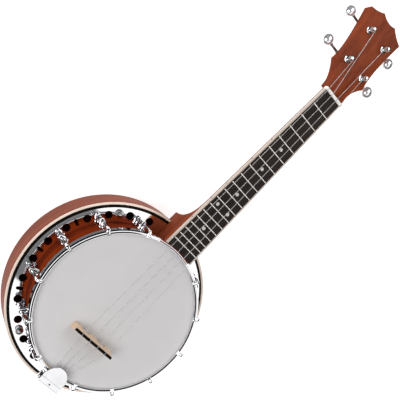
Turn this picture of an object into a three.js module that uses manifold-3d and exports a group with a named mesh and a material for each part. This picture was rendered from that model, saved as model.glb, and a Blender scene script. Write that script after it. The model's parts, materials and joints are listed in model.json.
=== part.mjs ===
// Banjo ukulele lying on the back of its resonator.
// Millimetres. X runs along the neck to the headstock, Y to the bass side, Z out of the head.
// The origin is the centre of the resonator's flat back.

import * as THREE from 'three';
import { mergeVertices } from 'three/addons/utils/BufferGeometryUtils.js';
import Module from 'manifold-3d';

const wasm = await Module();
wasm.setup();

// General fits
const clearance = 0.3;
const overrun = 3;
const weldDistance = 0.0001;
const ringSides = 48;
const roundSides = 12;
const postSides = 10;
const holeSides = 8;
const bowlSteps = 5;
const turn = Math.PI * 2;
const degree = Math.PI / 180;

// Resonator, a shallow wooden dish
const resonatorDepth = 49.7;
const resonatorWall = 5.6;
const backPlate = 4.2;
const backEdgeWidth = 22.3;
const backEdgeRise = 12;
const bindingWidth = 2.4;
const bindingDepth = 3.6;
const purflingDepth = 3.2;

// Rim, the wooden shell under the head
const rimRadius = 97;
const rimWall = 10;
const rimDrop = 28.9;
const rimLedge = 1.8;
const rimBevelShare = 0.2;

// Flange, the pierced plate between rim and resonator
const flangeRise = 1.2;
const flangePlate = 1.5;
const flangeWidth = 18.1;
const flangeHoleInset = 9.5;
const flangeHole = 9.6;
const flangeHoleAngle = 6.8;
const flangeSlotLength = 8.6;
const flangeSlotWidth = 3.8;

// Head, its collar and the tension hoop
const headRise = 37.2;
const skinThickness = 0.4;
const collarWall = 1.4;
const collarDepth = 5.5;
const hoopRise = 4.9;
const hoopInset = 0.8;
const hoopSkirtDepth = 6.4;
const hoopSkirtWall = 1.2;
const notchDepth = 1.7;

// Bracket hooks, six a side
const hooksPerSide = 6;
const hookFirstAngle = 25.9;
const hookStepAngle = 27.4;
const hookTurnAngle = -1.2;
const hookGap = 2.8;
const hookRod = 3;
const hookSides = 6;
const clawWidth = 3.8;
const clawPlay = 0.4;
const clawThickness = 2;
const clawShoulder = 6;
const shoeWidth = 9.8;
const shoeHeight = 13.2;
const shoeReach = 10.6;
const hookLift = 1.6;
const shoeShares = [[0, 1], [0.6, 1], [1, 0.5]];
const hookNut = 6;
const hookNutHeight = 3.2;

// Thumbscrews and the wall lugs that they grip
const thumbInset = 10.7;
const thumbHead = 9.8;
const thumbHeight = 8.4;
const thumbShank = 3.2;
const thumbShares = [[1, 0], [1, 0.5], [0.62, 0.62], [0.62, 0.86], [0.34, 1], [0, 1]];
const lugDepth = 11;
const lugWidth = 13;
const lugMargin = 3.7;

// Coordinator rod
const rodThickness = 6;
const rodGrip = 14;
const rodNut = 12;
const rodNutHeight = 5.5;

// Scale, nut and fretboard
const scaleLength = 381;
const fretCount = 18;
const boardTail = 8.7;
const boardRise = 7.9;
const boardPlate = 4.7;
const boardNutWidth = 26.6;
const boardEndWidth = 38.6;
const boardBinding = 2;
const fretWidth = 2;
const fretRise = 0.9;
const nutThickness = 4.5;
const nutRise = 2.8;

// Neck and heel
const neckDepthNut = 14;
const neckDepthBody = 17;
const heelDrop = 23.4;
const heelOverhang = 11.7;
const heelSweep = 34;
const neckSteps = 16;
const sectionSteps = 6;
const voluteLength = 9;
const voluteShare = 0.85;
const heelTaperShare = 0.62;
const heelTaperPower = 1.8;

// Headstock
const headstockAngle = 15;
const headstockGap = 1.1;
const headstockDrop = 2;
const headstockPlate = 13;
const headstockLength = 129;
const headstockHalf = 33;
const throatShares = [[0, 0.464], [0.062, 0.464], [0.155, 0.479], [0.275, 0.836]];
const sideBendShares = [0.426, 0.664];
const hornShares = [0.92, 1];
const crownBendShares = [0.942, 0.636];
const crownShares = [1, 0.364];
const dipBendShares = [0.969, 0.167];
const dipShare = 0.974;
const outlineSteps = 5;

// Tuning machines
const postNear = 42.5;
const postFar = 93.6;
const postSpread = 16;
const postThickness = 5;
const postWaist = 4.2;
const postRise = 12;
const waistEnd = 9.6;
const bushingWidth = 9.4;
const bushingShank = 7.4;
const bushingRise = 1.7;
const tunerPlate = 1;
const tunerPlateBack = 7.8;
const tunerPlateFront = 4.5;
const gearWidth = 10.4;
const gearThickness = 3.4;
const gearDrop = 1.5;
const wormWidth = 5;
const wormLength = 10.6;
const shaftWidth = 3.3;
const earThickness = 1.2;
const earHeight = 6.4;
const earWidth = 6.4;
const buttonGap = 3.1;
const buttonHalfLength = 6.6;
const buttonHalfWidth = 6.9;
const buttonHalfDepth = 5.2;

// Strings, treble to bass
const stringThickness = [0.8, 0.9, 1, 0.85];
const stringPitchNut = 8.8;
const stringPitchBridge = 12.4;
const stringPitchTail = 6.4;
const stringSides = 6;
const windTurns = 2;
const windSteps = 24;
const windPitch = 1.75;
const windRoom = 0.8;
const knotWidth = 2;
const knotFallShare = 0.82;

// Bridge
const bridgeSetback = 15.3;
const bridgeLength = 59.5;
const bridgeHeight = 16.2;
const bridgeTopPlate = 2.6;
const bridgeTopWidth = 3;
const bridgeFootWidth = 8.4;
const bridgeFootLength = 10.5;
const bridgeArch = 6.4;
const bridgeShoulder = 3;

// Tailpiece
const tailWidth = 28.8;
const coverPlate = 1.2;
const coverRise = 1.9;
const coverRear = 5;
const hingeReach = 9.8;
const hingeDrop = 4.4;
const hingeWidth = 4.4;
const hingePin = 1.6;
const hingeSplit = 14.8;
const hingeShares = [[0.82, 1.18], [0.27, 1.68], [0.5, 0], [-0.7, 0.6]];
const cheekShare = 0.8;
const shelfPlate = 2.6;
const hangerWidth = 18;
const hangerPlate = 1.8;
const lipPlate = 1.2;
const tailNut = 10;
const tailNutHeight = 4.4;
const tailLift = 1.1;
const shelfGap = 2.1;

// Radii that follow from the driving sizes, from the rim outwards
const collarOuter = rimRadius + clearance + collarWall;
const hoopInnerRadius = rimRadius - hoopInset;
const hoopSkirtInner = collarOuter + clearance;
const hoopOuterRadius = hoopSkirtInner + hoopSkirtWall;
const boardEndRadius = hoopOuterRadius + clearance;
const hookCircle = hoopOuterRadius + hookGap;
const flangeInner = rimRadius + clearance;
const flangeOuter = flangeInner + flangeWidth;
const flangeHoleCircle = flangeInner + flangeHoleInset;
const thumbCircle = flangeInner + thumbInset;
const wallInner = flangeOuter + clearance;
const resonatorRadius = wallInner + resonatorWall;
const bindingInner = resonatorRadius - bindingWidth;
const backFlatRadius = resonatorRadius - backEdgeWidth;
const heelReach = resonatorRadius + heelOverhang;

// Heights that follow, from the resonator upwards
const flangeTop = resonatorDepth + flangeRise;
const flangeBottom = flangeTop - flangePlate;
const rimFoot = flangeTop - rimDrop;
const heelBottom = flangeBottom - heelDrop;
const shoeMiddle = flangeTop + hookLift + hookNutHeight + clearance + shoeHeight / 2;
const rodHeight = flangeTop + tailLift + tailNut;
const headHeight = flangeTop + headRise;
const skinBottom = headHeight - skinThickness;
const rimTop = skinBottom - clearance;
const hoopTop = headHeight + hoopRise;
const hoopBottom = headHeight + clearance - hoopSkirtDepth;
const notchFloor = hoopTop - notchDepth;
const notchWidth = clawWidth + 2 * clawPlay;
const boardHeight = headHeight + boardRise;
const boardBottom = boardHeight - boardPlate;
const neckTop = boardBottom - clearance;

// Heights on the tuner posts, above the headstock's face
const windStart = waistEnd - windRoom;
const waistStart = windStart - windTurns * windPitch - 2 * windRoom;

// Places along the neck that follow from the scale
const nutFront = boardEndRadius + boardTail + fretTravel(fretCount);
const headstockStart = nutFront + clearance + nutThickness + headstockGap;
const headstockFace = boardHeight - headstockDrop;
const bridgePlace = nutFront - scaleLength - bridgeSetback;

// Distance from the nut to a fret in equal temperament
function fretTravel(number) {
  return scaleLength * (1 - 2 ** (-number / 12));
}

// Finishes
const mahogany = () => finish('mahogany', 0x94563f, 0.45, 0);
const shellWood = () => finish('shell wood', 0xa5491d, 0.3, 0);
const maple = () => finish('maple', 0xe2bd94, 0.5, 0);
const blackwood = () => finish('blackwood', 0x2c2420, 0.5, 0);
const cream = () => finish('cream binding', 0xf2e0c4, 0.4, 0);
const blackLine = () => finish('black purfling', 0x0b0b0b, 0.4, 0);
const skin = () => finish('coated skin', 0xcfcccb, 0.75, 0);
const chrome = () => finish('chrome', 0xdfe1e4, 0.08, 1);
const nylon = () => finish('nylon', 0xeceae6, 0.35, 0);
const bone = () => finish('nut white', 0xf4f1ea, 0.45, 0);

function finish(name, color, roughness, metalness) {
  return new THREE.MeshStandardMaterial({ name, color, roughness, metalness });
}

// Shape helpers

// Welds a geometry by position, drops triangles without area and turns its faces outwards
function weld(geometry) {
  const bare = geometry.clone();
  bare.deleteAttribute('normal');
  bare.deleteAttribute('uv');
  const merged = mergeVertices(bare, weldDistance);
  const place = merged.attributes.position;
  const corners = Array.from(merged.index.array);
  const a = new THREE.Vector3();
  const b = new THREE.Vector3();
  const c = new THREE.Vector3();
  const kept = [];
  let volume = 0;
  for (let i = 0; i < corners.length; i += 3) {
    const [p, q, r] = corners.slice(i, i + 3);
    if (p === q || q === r || r === p) continue;
    kept.push([p, q, r]);
    a.fromBufferAttribute(place, p);
    b.fromBufferAttribute(place, q);
    c.fromBufferAttribute(place, r);
    volume += a.dot(b.cross(c));
  }
  const facing = volume < 0 ? kept.map(([p, q, r]) => [p, r, q]) : kept;
  const result = new THREE.BufferGeometry();
  result.setAttribute('position', place.clone());
  result.setIndex(facing.flat());
  return result;
}

function solid(geometry) {
  const welded = weld(geometry);
  const vertProperties = new Float32Array(welded.attributes.position.array);
  const triVerts = new Uint32Array(welded.index.array);
  return new wasm.Manifold(new wasm.Mesh({ numProp: 3, vertProperties, triVerts }));
}

function surface(body) {
  const mesh = body.getMesh();
  const result = new THREE.BufferGeometry();
  result.setAttribute('position', new THREE.BufferAttribute(new Float32Array(mesh.vertProperties), 3));
  result.setIndex(Array.from(mesh.triVerts));
  return result;
}

function join(...geometries) {
  return surface(geometries.map(solid).reduce((all, next) => all.add(next)));
}

function cut(geometry, ...tools) {
  return surface(tools.map(solid).reduce((left, tool) => left.subtract(tool), solid(geometry)));
}

function common(geometry, other) {
  return surface(solid(geometry).intersect(solid(other)));
}

// Turns pairs of radius and height about Z; a ring's profile closes on itself
function turned(profile, sides = ringSides) {
  const outline = profile.map(([radius, height]) => new THREE.Vector2(radius, height));
  const first = outline[0];
  if (first.x > 0) outline.push(first.clone());
  return weld(new THREE.LatheGeometry(outline, sides).rotateX(Math.PI / 2));
}

function arc(radius, from, to, steps, centreX = 0, centreY = 0) {
  const points = [];
  for (let i = 0; i <= steps; i += 1) {
    const angle = from + ((to - from) * i) / steps;
    points.push([centreX + radius * Math.cos(angle), centreY + radius * Math.sin(angle)]);
  }
  return points;
}

function circle(radius, sides, centreX = 0, centreY = 0) {
  return arc(radius, 0, turn, sides, centreX, centreY).slice(0, -1);
}

function toVectors(points) {
  return points.map(([x, y]) => new THREE.Vector2(x, y));
}

// Extrudes an outline in X and Y from one height to another
function plate(outline, bottom, top, holes = []) {
  const shape = new THREE.Shape(toVectors(outline));
  shape.holes = holes.map((hole) => new THREE.Path(toVectors(hole)));
  const geometry = new THREE.ExtrudeGeometry(shape, { depth: top - bottom, bevelEnabled: false });
  return weld(geometry.translate(0, 0, bottom));
}

// Extrudes an outline in X and Z across Y
function crossPlate(outline, from, to) {
  const shape = new THREE.Shape(toVectors(outline));
  const geometry = new THREE.ExtrudeGeometry(shape, { depth: to - from, bevelEnabled: false });
  return weld(geometry.rotateX(Math.PI / 2).translate(0, to, 0));
}

function block(fromX, toX, fromY, toY, fromZ, toZ) {
  const geometry = new THREE.BoxGeometry(toX - fromX, toY - fromY, toZ - fromZ);
  return geometry.translate((fromX + toX) / 2, (fromY + toY) / 2, (fromZ + toZ) / 2);
}

// A round or many-sided bar between two points
function bar(from, to, width, sides = roundSides) {
  const start = new THREE.Vector3(...from);
  const end = new THREE.Vector3(...to);
  const along = end.clone().sub(start);
  const geometry = new THREE.CylinderGeometry(width / 2, width / 2, along.length(), sides);
  const up = new THREE.Vector3(0, 1, 0);
  geometry.applyQuaternion(new THREE.Quaternion().setFromUnitVectors(up, along.clone().normalize()));
  return geometry.translate(...start.add(end).multiplyScalar(1 / 2).toArray());
}

// Skins a row of sections that hold as many points each
function loft(sections) {
  const count = sections[0].length;
  const corners = [];
  const quad = (a, b, c, d) => corners.push(...a, ...b, ...c, ...a, ...c, ...d);
  for (let i = 1; i < sections.length; i += 1) {
    for (let j = 0; j < count; j += 1) {
      const k = (j + 1) % count;
      quad(sections[i - 1][j], sections[i][j], sections[i][k], sections[i - 1][k]);
    }
  }
  const last = sections[sections.length - 1];
  for (let j = 1; j < count - 1; j += 1) {
    corners.push(...sections[0][0], ...sections[0][j], ...sections[0][j + 1]);
    corners.push(...last[0], ...last[j + 1], ...last[j]);
  }
  const geometry = new THREE.BufferGeometry();
  geometry.setAttribute('position', new THREE.Float32BufferAttribute(corners, 3));
  return weld(geometry);
}

// A round cord through points, square at both ends
function cord(points, width) {
  const rings = points.map((point, i) => {
    const before = new THREE.Vector3(...points[Math.max(i - 1, 0)]);
    const after = new THREE.Vector3(...points[Math.min(i + 1, points.length - 1)]);
    const along = after.sub(before).normalize();
    const across = new THREE.Vector3(0, 0, 1).cross(along).normalize();
    const upward = along.clone().cross(across);
    return circle(width / 2, stringSides).map(([u, v]) => {
      const spot = new THREE.Vector3(...point).addScaledVector(across, u).addScaledVector(upward, v);
      return spot.toArray();
    });
  });
  return loft(rings);
}

const part = new THREE.Group();
const headstockGroup = new THREE.Group();
headstockGroup.position.set(headstockStart, 0, headstockFace);
headstockGroup.rotation.y = headstockAngle * degree;
part.add(headstockGroup);

function add(name, geometry, material, parent = part) {
  const mesh = new THREE.Mesh(weld(geometry), material);
  mesh.name = name;
  parent.add(mesh);
  return mesh;
}

const hookAngles = [1, -1].flatMap((side) => Array.from({ length: hooksPerSide }, (_, i) => (
  side * (hookFirstAngle + i * hookStepAngle) + hookTurnAngle)));
const thumbSteps = [0, hooksPerSide - 2];
const thumbAngles = [1, -1].flatMap((side) => thumbSteps.map((i) => (
  side * (hookFirstAngle + (i + 1 / 2) * hookStepAngle))));

function polar(radius, angle) {
  return [radius * Math.cos(angle * degree), radius * Math.sin(angle * degree)];
}

function boardHalf(x) {
  const share = (nutFront - x) / (nutFront - boardEndRadius);
  return (boardNutWidth + (boardEndWidth - boardNutWidth) * share) / 2;
}

// Depth of the neck under the fretboard at a place along it
function neckDepth(x) {
  const share = (nutFront - x) / (nutFront - heelReach - heelSweep);
  const plain = neckDepthNut + (neckDepthBody - neckDepthNut) * Math.min(Math.max(share, 0), 1);
  const past = (x - nutFront) / (headstockStart + voluteLength - nutFront);
  if (past > 0) return plain * (1 - (1 - voluteShare) * past);
  const full = neckTop - heelBottom;
  const into = (heelReach + heelSweep - x) / heelSweep;
  if (into <= 0) return plain;
  if (into >= 1) return full;
  return plain + (full - plain) * (1 - Math.sqrt(1 - into * into));
}

// One cross-section of the neck, with room around it when it is used as a cutter
function neckSection(x, room = 0) {
  const half = boardHalf(x) + boardBinding + room;
  const depth = neckDepth(x - room) + room * 2;
  const heel = Math.min(Math.max((heelReach + heelSweep / 2 + room - x) / (heelSweep / 2), 0), 1);
  const side = [];
  for (let i = 0; i <= sectionSteps; i += 1) {
    const angle = (Math.PI / 2) * (i / sectionSteps);
    const down = Math.sin(angle);
    const round = Math.cos(angle);
    const tapered = 1 - heelTaperShare * down ** heelTaperPower;
    side.push([half * (round + (tapered - round) * heel), neckTop + room - depth * down]);
  }
  return [...side.map(([y, z]) => [x, y, z]), ...side.map(([y, z]) => [x, -y, z]).reverse()];
}

// Sections crowd together where the heel sweeps down
function neckBlank(room = 0) {
  const end = headstockStart + voluteLength;
  const sections = [neckSection(rimRadius - rimWall, room)];
  for (let i = 0; i <= neckSteps; i += 1) {
    const share = (i / neckSteps) ** 2;
    sections.push(neckSection(heelReach + room + (end - heelReach - room) * share, room));
  }
  return loft(sections);
}

function bend(from, control, to) {
  const curve = new THREE.QuadraticBezierCurve(...toVectors([from, control, to]));
  return curve.getPoints(outlineSteps).slice(1).map((point) => point.toArray());
}

// Headstock outline: throat, lower horn, waist, upper horn, crown and its dip, then the same mirrored
function headstockOutline() {
  const scaled = ([along, across]) => [along * headstockLength, across * headstockHalf];
  const [root, throat, throatBend, lowHorn] = throatShares.map(scaled);
  const horn = scaled(hornShares);
  const crown = scaled(crownShares);
  const dip = [dipShare * headstockLength, 0];
  const half = [
    root,
    throat,
    ...bend(throat, throatBend, lowHorn),
    ...bend(lowHorn, scaled(sideBendShares), horn),
    ...bend(horn, scaled(crownBendShares), crown),
    ...bend(crown, scaled(dipBendShares), dip),
  ];
  const mirrored = half.slice(0, -1).map(([s, y]) => [s, -y]).reverse();
  return [...half, ...mirrored].reverse();
}

const postPlaces = [
  { along: postNear, side: -1 },
  { along: postFar, side: -1 },
  { along: postFar, side: 1 },
  { along: postNear, side: 1 },
];

function inHeadstock(geometry) {
  headstockGroup.updateMatrix();
  return geometry.clone().applyMatrix4(headstockGroup.matrix);
}

function toWorld(point) {
  headstockGroup.updateMatrix();
  return new THREE.Vector3(...point).applyMatrix4(headstockGroup.matrix).toArray();
}

function addNeck() {
  const slab = inHeadstock(plate(headstockOutline(), -headstockPlate, 0));
  const rimCutter = turned([
    [0, -overrun],
    [rimRadius + rimLedge + clearance, -overrun],
    [rimRadius + rimLedge + clearance, flangeBottom],
    [rimRadius + clearance, flangeBottom],
    [rimRadius + clearance, hoopBottom - clearance],
    [boardEndRadius, hoopBottom - clearance],
    [boardEndRadius, boardHeight],
    [0, boardHeight],
  ]);
  const rodEnd = rimRadius + rodGrip + clearance;
  const rodBore = bar([0, 0, rodHeight], [rodEnd, 0, rodHeight], rodThickness + 2 * clearance);
  const postBores = postPlaces.map(({ along, side }) => inHeadstock(bar(
    [along, side * postSpread, -headstockPlate - overrun],
    [along, side * postSpread, overrun],
    bushingShank + 2 * clearance,
  )));
  add('neck', cut(join(neckBlank(), slab), rimCutter, rodBore, ...postBores), mahogany());
}

// Outline of the fretboard or of one binding strip: from one offset to another, closed by the round body end
function boardStrip(fromOffset, toOffset) {
  const edge = (offset) => {
    const atNut = boardNutWidth / 2 + offset;
    const atBody = boardEndWidth / 2 + offset;
    return [[nutFront, atNut], [Math.sqrt(boardEndRadius ** 2 - atBody ** 2), atBody]];
  };
  const [nearStart, nearEnd] = edge(fromOffset);
  const [farStart, farEnd] = edge(toOffset);
  return [nearStart, nearEnd, farEnd, farStart];
}

function addFretboard() {
  const spread = Math.asin(boardEndWidth / 2 / boardEndRadius);
  const outline = [
    [nutFront, -boardNutWidth / 2],
    [nutFront, boardNutWidth / 2],
    ...arc(boardEndRadius, spread, -spread, sectionSteps),
  ];
  const board = plate(outline, boardBottom, boardHeight);
  const frets = Array.from({ length: fretCount }, (_, i) => {
    const place = nutFront - fretTravel(i + 1);
    const reach = boardHalf(place) - clearance;
    const half = fretWidth / 2;
    return block(place - half, place + half, -reach, reach, boardHeight - fretRise, boardHeight + fretRise);
  });
  add('fretboard', join(board, ...frets), blackwood());
  for (const [name, side] of [['binding_bass', 1], ['binding_treble', -1]]) {
    const strip = boardStrip(clearance, boardBinding).map(([x, y]) => [x, side * y]);
    add(name, plate(strip, boardBottom, boardHeight), cream());
  }
}

const stringPlaces = stringThickness.map((thickness, i) => {
  const step = i - (stringThickness.length - 1) / 2;
  return {
    thickness,
    atNut: step * stringPitchNut,
    atBridge: step * stringPitchBridge,
    atTail: step * stringPitchTail,
  };
});

const nutTop = boardHeight + nutRise;
const bridgeTop = headHeight + bridgeHeight;

const tailFace = rimRadius + clearance;
const tailNutFace = tailFace + hangerPlate + clearance;

const hingeX = -(hoopOuterRadius + hingeReach);
const hingeZ = hoopTop - hingeDrop;
const barrel = hingeWidth / 2;
const coverBottom = hoopTop + coverRise;
const coverTop = coverBottom + coverPlate;
const tailStringHeight = (hoopTop + coverBottom) / 2;
const shelfTop = hingeZ - barrel - clearance;
const shelfFront = -(hoopOuterRadius + shelfGap);
const knotPlace = shelfFront - lipPlate - knotWidth;
const knotHeight = tailStringHeight - (shelfFront - knotPlace) * knotFallShare;

const bendAtLip = 1;
const bendAtBridge = 3;
const bendAtNut = 4;

// Strings: a knot behind the slotted lip, over hoop, bridge and nut, then wound on the post
function stringRoute({ thickness, atNut, atBridge, atTail }, { along, side }) {
  const half = tailWidth / 2;
  const coverEdge = -hoopOuterRadius + Math.sqrt(half * half - atTail * atTail);
  const route = [
    [knotPlace, atTail, knotHeight],
    [shelfFront, atTail, tailStringHeight],
    [coverEdge, atTail, tailStringHeight],
    [bridgePlace, atBridge, bridgeTop],
    [nutFront + clearance + nutThickness / 2, atNut, nutTop],
  ];
  const windRadius = postWaist / 2 + clearance + thickness / 2;
  for (let i = 0; i <= windTurns * windSteps; i += 1) {
    const wound = i / windSteps;
    const angle = side * (wound * turn - Math.PI / 2);
    route.push(toWorld([
      along + windRadius * Math.cos(angle),
      side * postSpread + windRadius * Math.sin(angle),
      windStart - wound * windPitch,
    ]));
  }
  return route;
}

const routes = stringPlaces.map((place, i) => stringRoute(place, postPlaces[i]));

// Cutter for the groove that a string lies in where its route bends over a piece
function stringSlot(route, bendIndex, thickness, reach) {
  const [before, middle, after] = route.slice(bendIndex - 1, bendIndex + 2);
  const room = thickness / 2 + clearance;
  const falls = [before, after].map((point) => (
    Math.max((middle[2] - point[2]) / Math.abs(middle[0] - point[0]), 0)));
  const under = falls.map((fall) => room * Math.hypot(1, fall));
  return crossPlate([
    [middle[0] - reach, middle[2] - under[0] - falls[0] * reach],
    [middle[0], middle[2] - Math.max(...under)],
    [middle[0] + reach, middle[2] - under[1] - falls[1] * reach],
    [middle[0] + reach, middle[2] + overrun],
    [middle[0] - reach, middle[2] + overrun],
  ], middle[1] - room, middle[1] + room);
}

function stringSlots(bendIndex, reach) {
  return stringPlaces.map(({ thickness }, i) => stringSlot(routes[i], bendIndex, thickness, reach + overrun));
}

function addNut() {
  const half = boardNutWidth / 2 + boardBinding;
  const back = nutFront + clearance + nutThickness;
  const blank = block(nutFront + clearance, back, -half, half, boardBottom, nutTop);
  add('nut', cut(blank, ...stringSlots(bendAtNut, nutThickness)), bone());
}

// Extrudes an outline in Y and Z along X
function endPlate(outline, from, to) {
  const shape = new THREE.Shape(toVectors(outline));
  const geometry = new THREE.ExtrudeGeometry(shape, { depth: to - from, bevelEnabled: false });
  const basis = new THREE.Matrix4().makeBasis(
    new THREE.Vector3(0, 1, 0),
    new THREE.Vector3(0, 0, 1),
    new THREE.Vector3(1, 0, 0),
  );
  return weld(geometry.applyMatrix4(basis).translate(from, 0, 0));
}

function addBridge() {
  const half = bridgeLength / 2;
  const foot = headHeight + clearance;
  const bodyTop = bridgeTop - bridgeTopPlate - clearance;
  const archHalf = (half - 3 / 2 * bridgeFootLength) / 2;
  const archMiddle = half - bridgeFootLength - archHalf;
  const arch = (middle) => arc(1, Math.PI, 0, sectionSteps)
    .map(([across, up]) => [middle + across * archHalf, foot + up * bridgeArch]);
  const outline = [
    [-half, foot],
    ...arch(-archMiddle),
    ...arch(archMiddle),
    [half, foot],
    [half, bodyTop - bridgeShoulder],
    [half - bridgeShoulder, bodyTop],
    [bridgeShoulder - half, bodyTop],
    [-half, bodyTop - bridgeShoulder],
  ];
  const blank = endPlate(outline, bridgePlace - bridgeFootWidth / 2, bridgePlace + bridgeFootWidth / 2);
  const taper = crossPlate([
    [bridgePlace - bridgeFootWidth / 2, foot],
    [bridgePlace + bridgeFootWidth / 2, foot],
    [bridgePlace + bridgeTopWidth / 2, bodyTop],
    [bridgePlace - bridgeTopWidth / 2, bodyTop],
  ], -half, half);
  add('bridge', common(blank, taper), maple());
  const front = bridgePlace + bridgeTopWidth / 2;
  const back = bridgePlace - bridgeTopWidth / 2;
  const saddle = block(back, front, -half, half, bridgeTop - bridgeTopPlate, bridgeTop);
  add('bridge_top', cut(saddle, ...stringSlots(bendAtBridge, bridgeTopWidth)), blackwood());
}

// Resonator: dished back, side wall with lugs for the thumbscrews, black line and cream binding
function addResonator() {
  const edge = resonatorRadius - backFlatRadius;
  const innerEdge = wallInner - backFlatRadius;
  const innerRise = backEdgeRise - backPlate;
  const outer = arc(1, -Math.PI / 2, 0, bowlSteps)
    .map(([across, up]) => [backFlatRadius + across * edge, backEdgeRise * (1 + up)]);
  const inner = arc(1, 0, -Math.PI / 2, bowlSteps)
    .map(([across, up]) => [backFlatRadius + across * innerEdge, backPlate + innerRise * (1 + up)]);
  add('resonator_back', turned([[0, 0], ...outer, ...inner, [0, backPlate]]), mahogany());

  const wallFoot = backEdgeRise + clearance;
  const bindingFoot = resonatorDepth - bindingDepth;
  const purflingFoot = resonatorDepth - purflingDepth;
  const wall = turned([
    [wallInner, wallFoot],
    [resonatorRadius, wallFoot],
    [resonatorRadius, bindingFoot - clearance],
    [bindingInner - clearance, bindingFoot - clearance],
    [bindingInner - clearance, purflingFoot - clearance],
    [wallInner, purflingFoot - clearance],
  ]);
  const lugTop = flangeBottom - clearance;
  const half = lugWidth / 2;
  const lugs = thumbAngles.map((angle) => {
    const lug = block(thumbCircle - lugMargin, wallInner + clearance, -half, half, lugTop - lugDepth, lugTop);
    return cut(lug, crossPlate([
      [wallInner - overrun, purflingFoot - clearance],
      [wallInner + overrun, purflingFoot - clearance],
      [wallInner + overrun, lugTop + overrun],
      [wallInner - overrun, lugTop + overrun],
    ], -lugWidth, lugWidth)).rotateZ(angle * degree);
  });
  const bores = thumbAngles.map((angle) => bar(
    [...polar(thumbCircle, angle), lugTop - lugDepth - overrun],
    [...polar(thumbCircle, angle), flangeTop + overrun],
    thumbShank + 2 * clearance,
    hookSides,
  ));
  const heelNotch = neckBlank(2 * clearance);
  add('resonator_side', cut(join(wall, ...lugs), heelNotch, ...bores), mahogany());

  const purfling = turned([
    [wallInner, purflingFoot],
    [bindingInner - clearance, purflingFoot],
    [bindingInner - clearance, resonatorDepth],
    [wallInner, resonatorDepth],
  ]);
  add('resonator_purfling', cut(purfling, heelNotch), blackLine());
  const binding = turned([
    [bindingInner, bindingFoot],
    [resonatorRadius, bindingFoot],
    [resonatorRadius, resonatorDepth],
    [bindingInner, resonatorDepth],
  ]);
  add('resonator_binding', cut(binding, heelNotch), cream());
}

// A slot with round ends that points away from the centre
function radialSlot(middle, length, width, angle) {
  const straight = (length - width) / 2;
  const outline = [
    ...arc(width / 2, -Math.PI / 2, Math.PI / 2, holeSides / 2, middle + straight),
    ...arc(width / 2, Math.PI / 2, (Math.PI * 3) / 2, holeSides / 2, middle - straight),
  ];
  const [cos, sin] = polar(1, angle);
  return outline.map(([x, y]) => [x * cos - y * sin, x * sin + y * cos]);
}

function addFlange() {
  const holes = [];
  for (const side of [1, -1]) {
    for (let i = 0; i < hooksPerSide; i += 1) {
      const at = hookFirstAngle + i * hookStepAngle;
      for (const shift of [-flangeHoleAngle, flangeHoleAngle]) {
        holes.push(circle(flangeHole / 2, holeSides, ...polar(flangeHoleCircle, side * (at + shift))));
      }
      if (i < hooksPerSide - 1 && !thumbSteps.includes(i)) {
        const between = side * (at + hookStepAngle / 2);
        holes.push(radialSlot(flangeHoleCircle, flangeSlotLength, flangeSlotWidth, between));
      }
    }
  }
  for (const angle of thumbAngles) {
    holes.push(circle(thumbShank / 2 + clearance, hookSides, ...polar(thumbCircle, angle)));
  }
  holes.push(circle(flangeInner, ringSides));
  const ring = plate(circle(flangeOuter, ringSides), flangeBottom, flangeTop, holes);
  add('flange', cut(ring, neckBlank(2 * clearance)), chrome());
}

// Rim with its ledge for the flange and the bores for the coordinator rod
function addRim() {
  const inner = rimRadius - rimWall;
  const ledgeTop = flangeBottom - clearance;
  const bevel = rimWall * rimBevelShare;
  const shell = turned([
    [inner, rimFoot],
    [rimRadius + rimLedge, rimFoot],
    [rimRadius + rimLedge, ledgeTop],
    [rimRadius, ledgeTop],
    [rimRadius, rimTop - bevel],
    [rimRadius - bevel, rimTop],
    [inner, rimTop],
  ]);
  const reach = rimRadius + overrun;
  const bore = bar([-reach, 0, rodHeight], [reach, 0, rodHeight], rodThickness + 2 * clearance);
  add('rim', cut(shell, bore), shellWood());
}

// Head film and the collar ring that grips its edge
function addHead() {
  add('head', plate(circle(collarOuter, ringSides), skinBottom, headHeight), skin());
  const collarInner = rimRadius + clearance;
  add('head_collar', turned([
    [collarInner, skinBottom - clearance],
    [collarInner, headHeight - collarDepth],
    [collarOuter, headHeight - collarDepth],
    [collarOuter, skinBottom - clearance],
  ]), chrome());
}

function addHoop() {
  const lip = headHeight + clearance;
  const edge = hoopSkirtWall / 2;
  const ring = turned([
    [hoopInnerRadius, lip],
    [hoopSkirtInner, lip],
    [hoopSkirtInner, hoopBottom],
    [hoopOuterRadius, hoopBottom],
    [hoopOuterRadius, hoopTop - edge],
    [hoopOuterRadius - edge, hoopTop],
    [hoopInnerRadius + edge, hoopTop],
    [hoopInnerRadius, hoopTop - edge],
  ]);
  const notches = hookAngles.map((angle) => block(
    hoopInnerRadius - overrun,
    hoopOuterRadius + overrun,
    -notchWidth / 2,
    notchWidth / 2,
    notchFloor,
    hoopTop + overrun,
  ).rotateZ(angle * degree));
  add('tension_hoop', cut(ring, ...notches), chrome());
}

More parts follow.
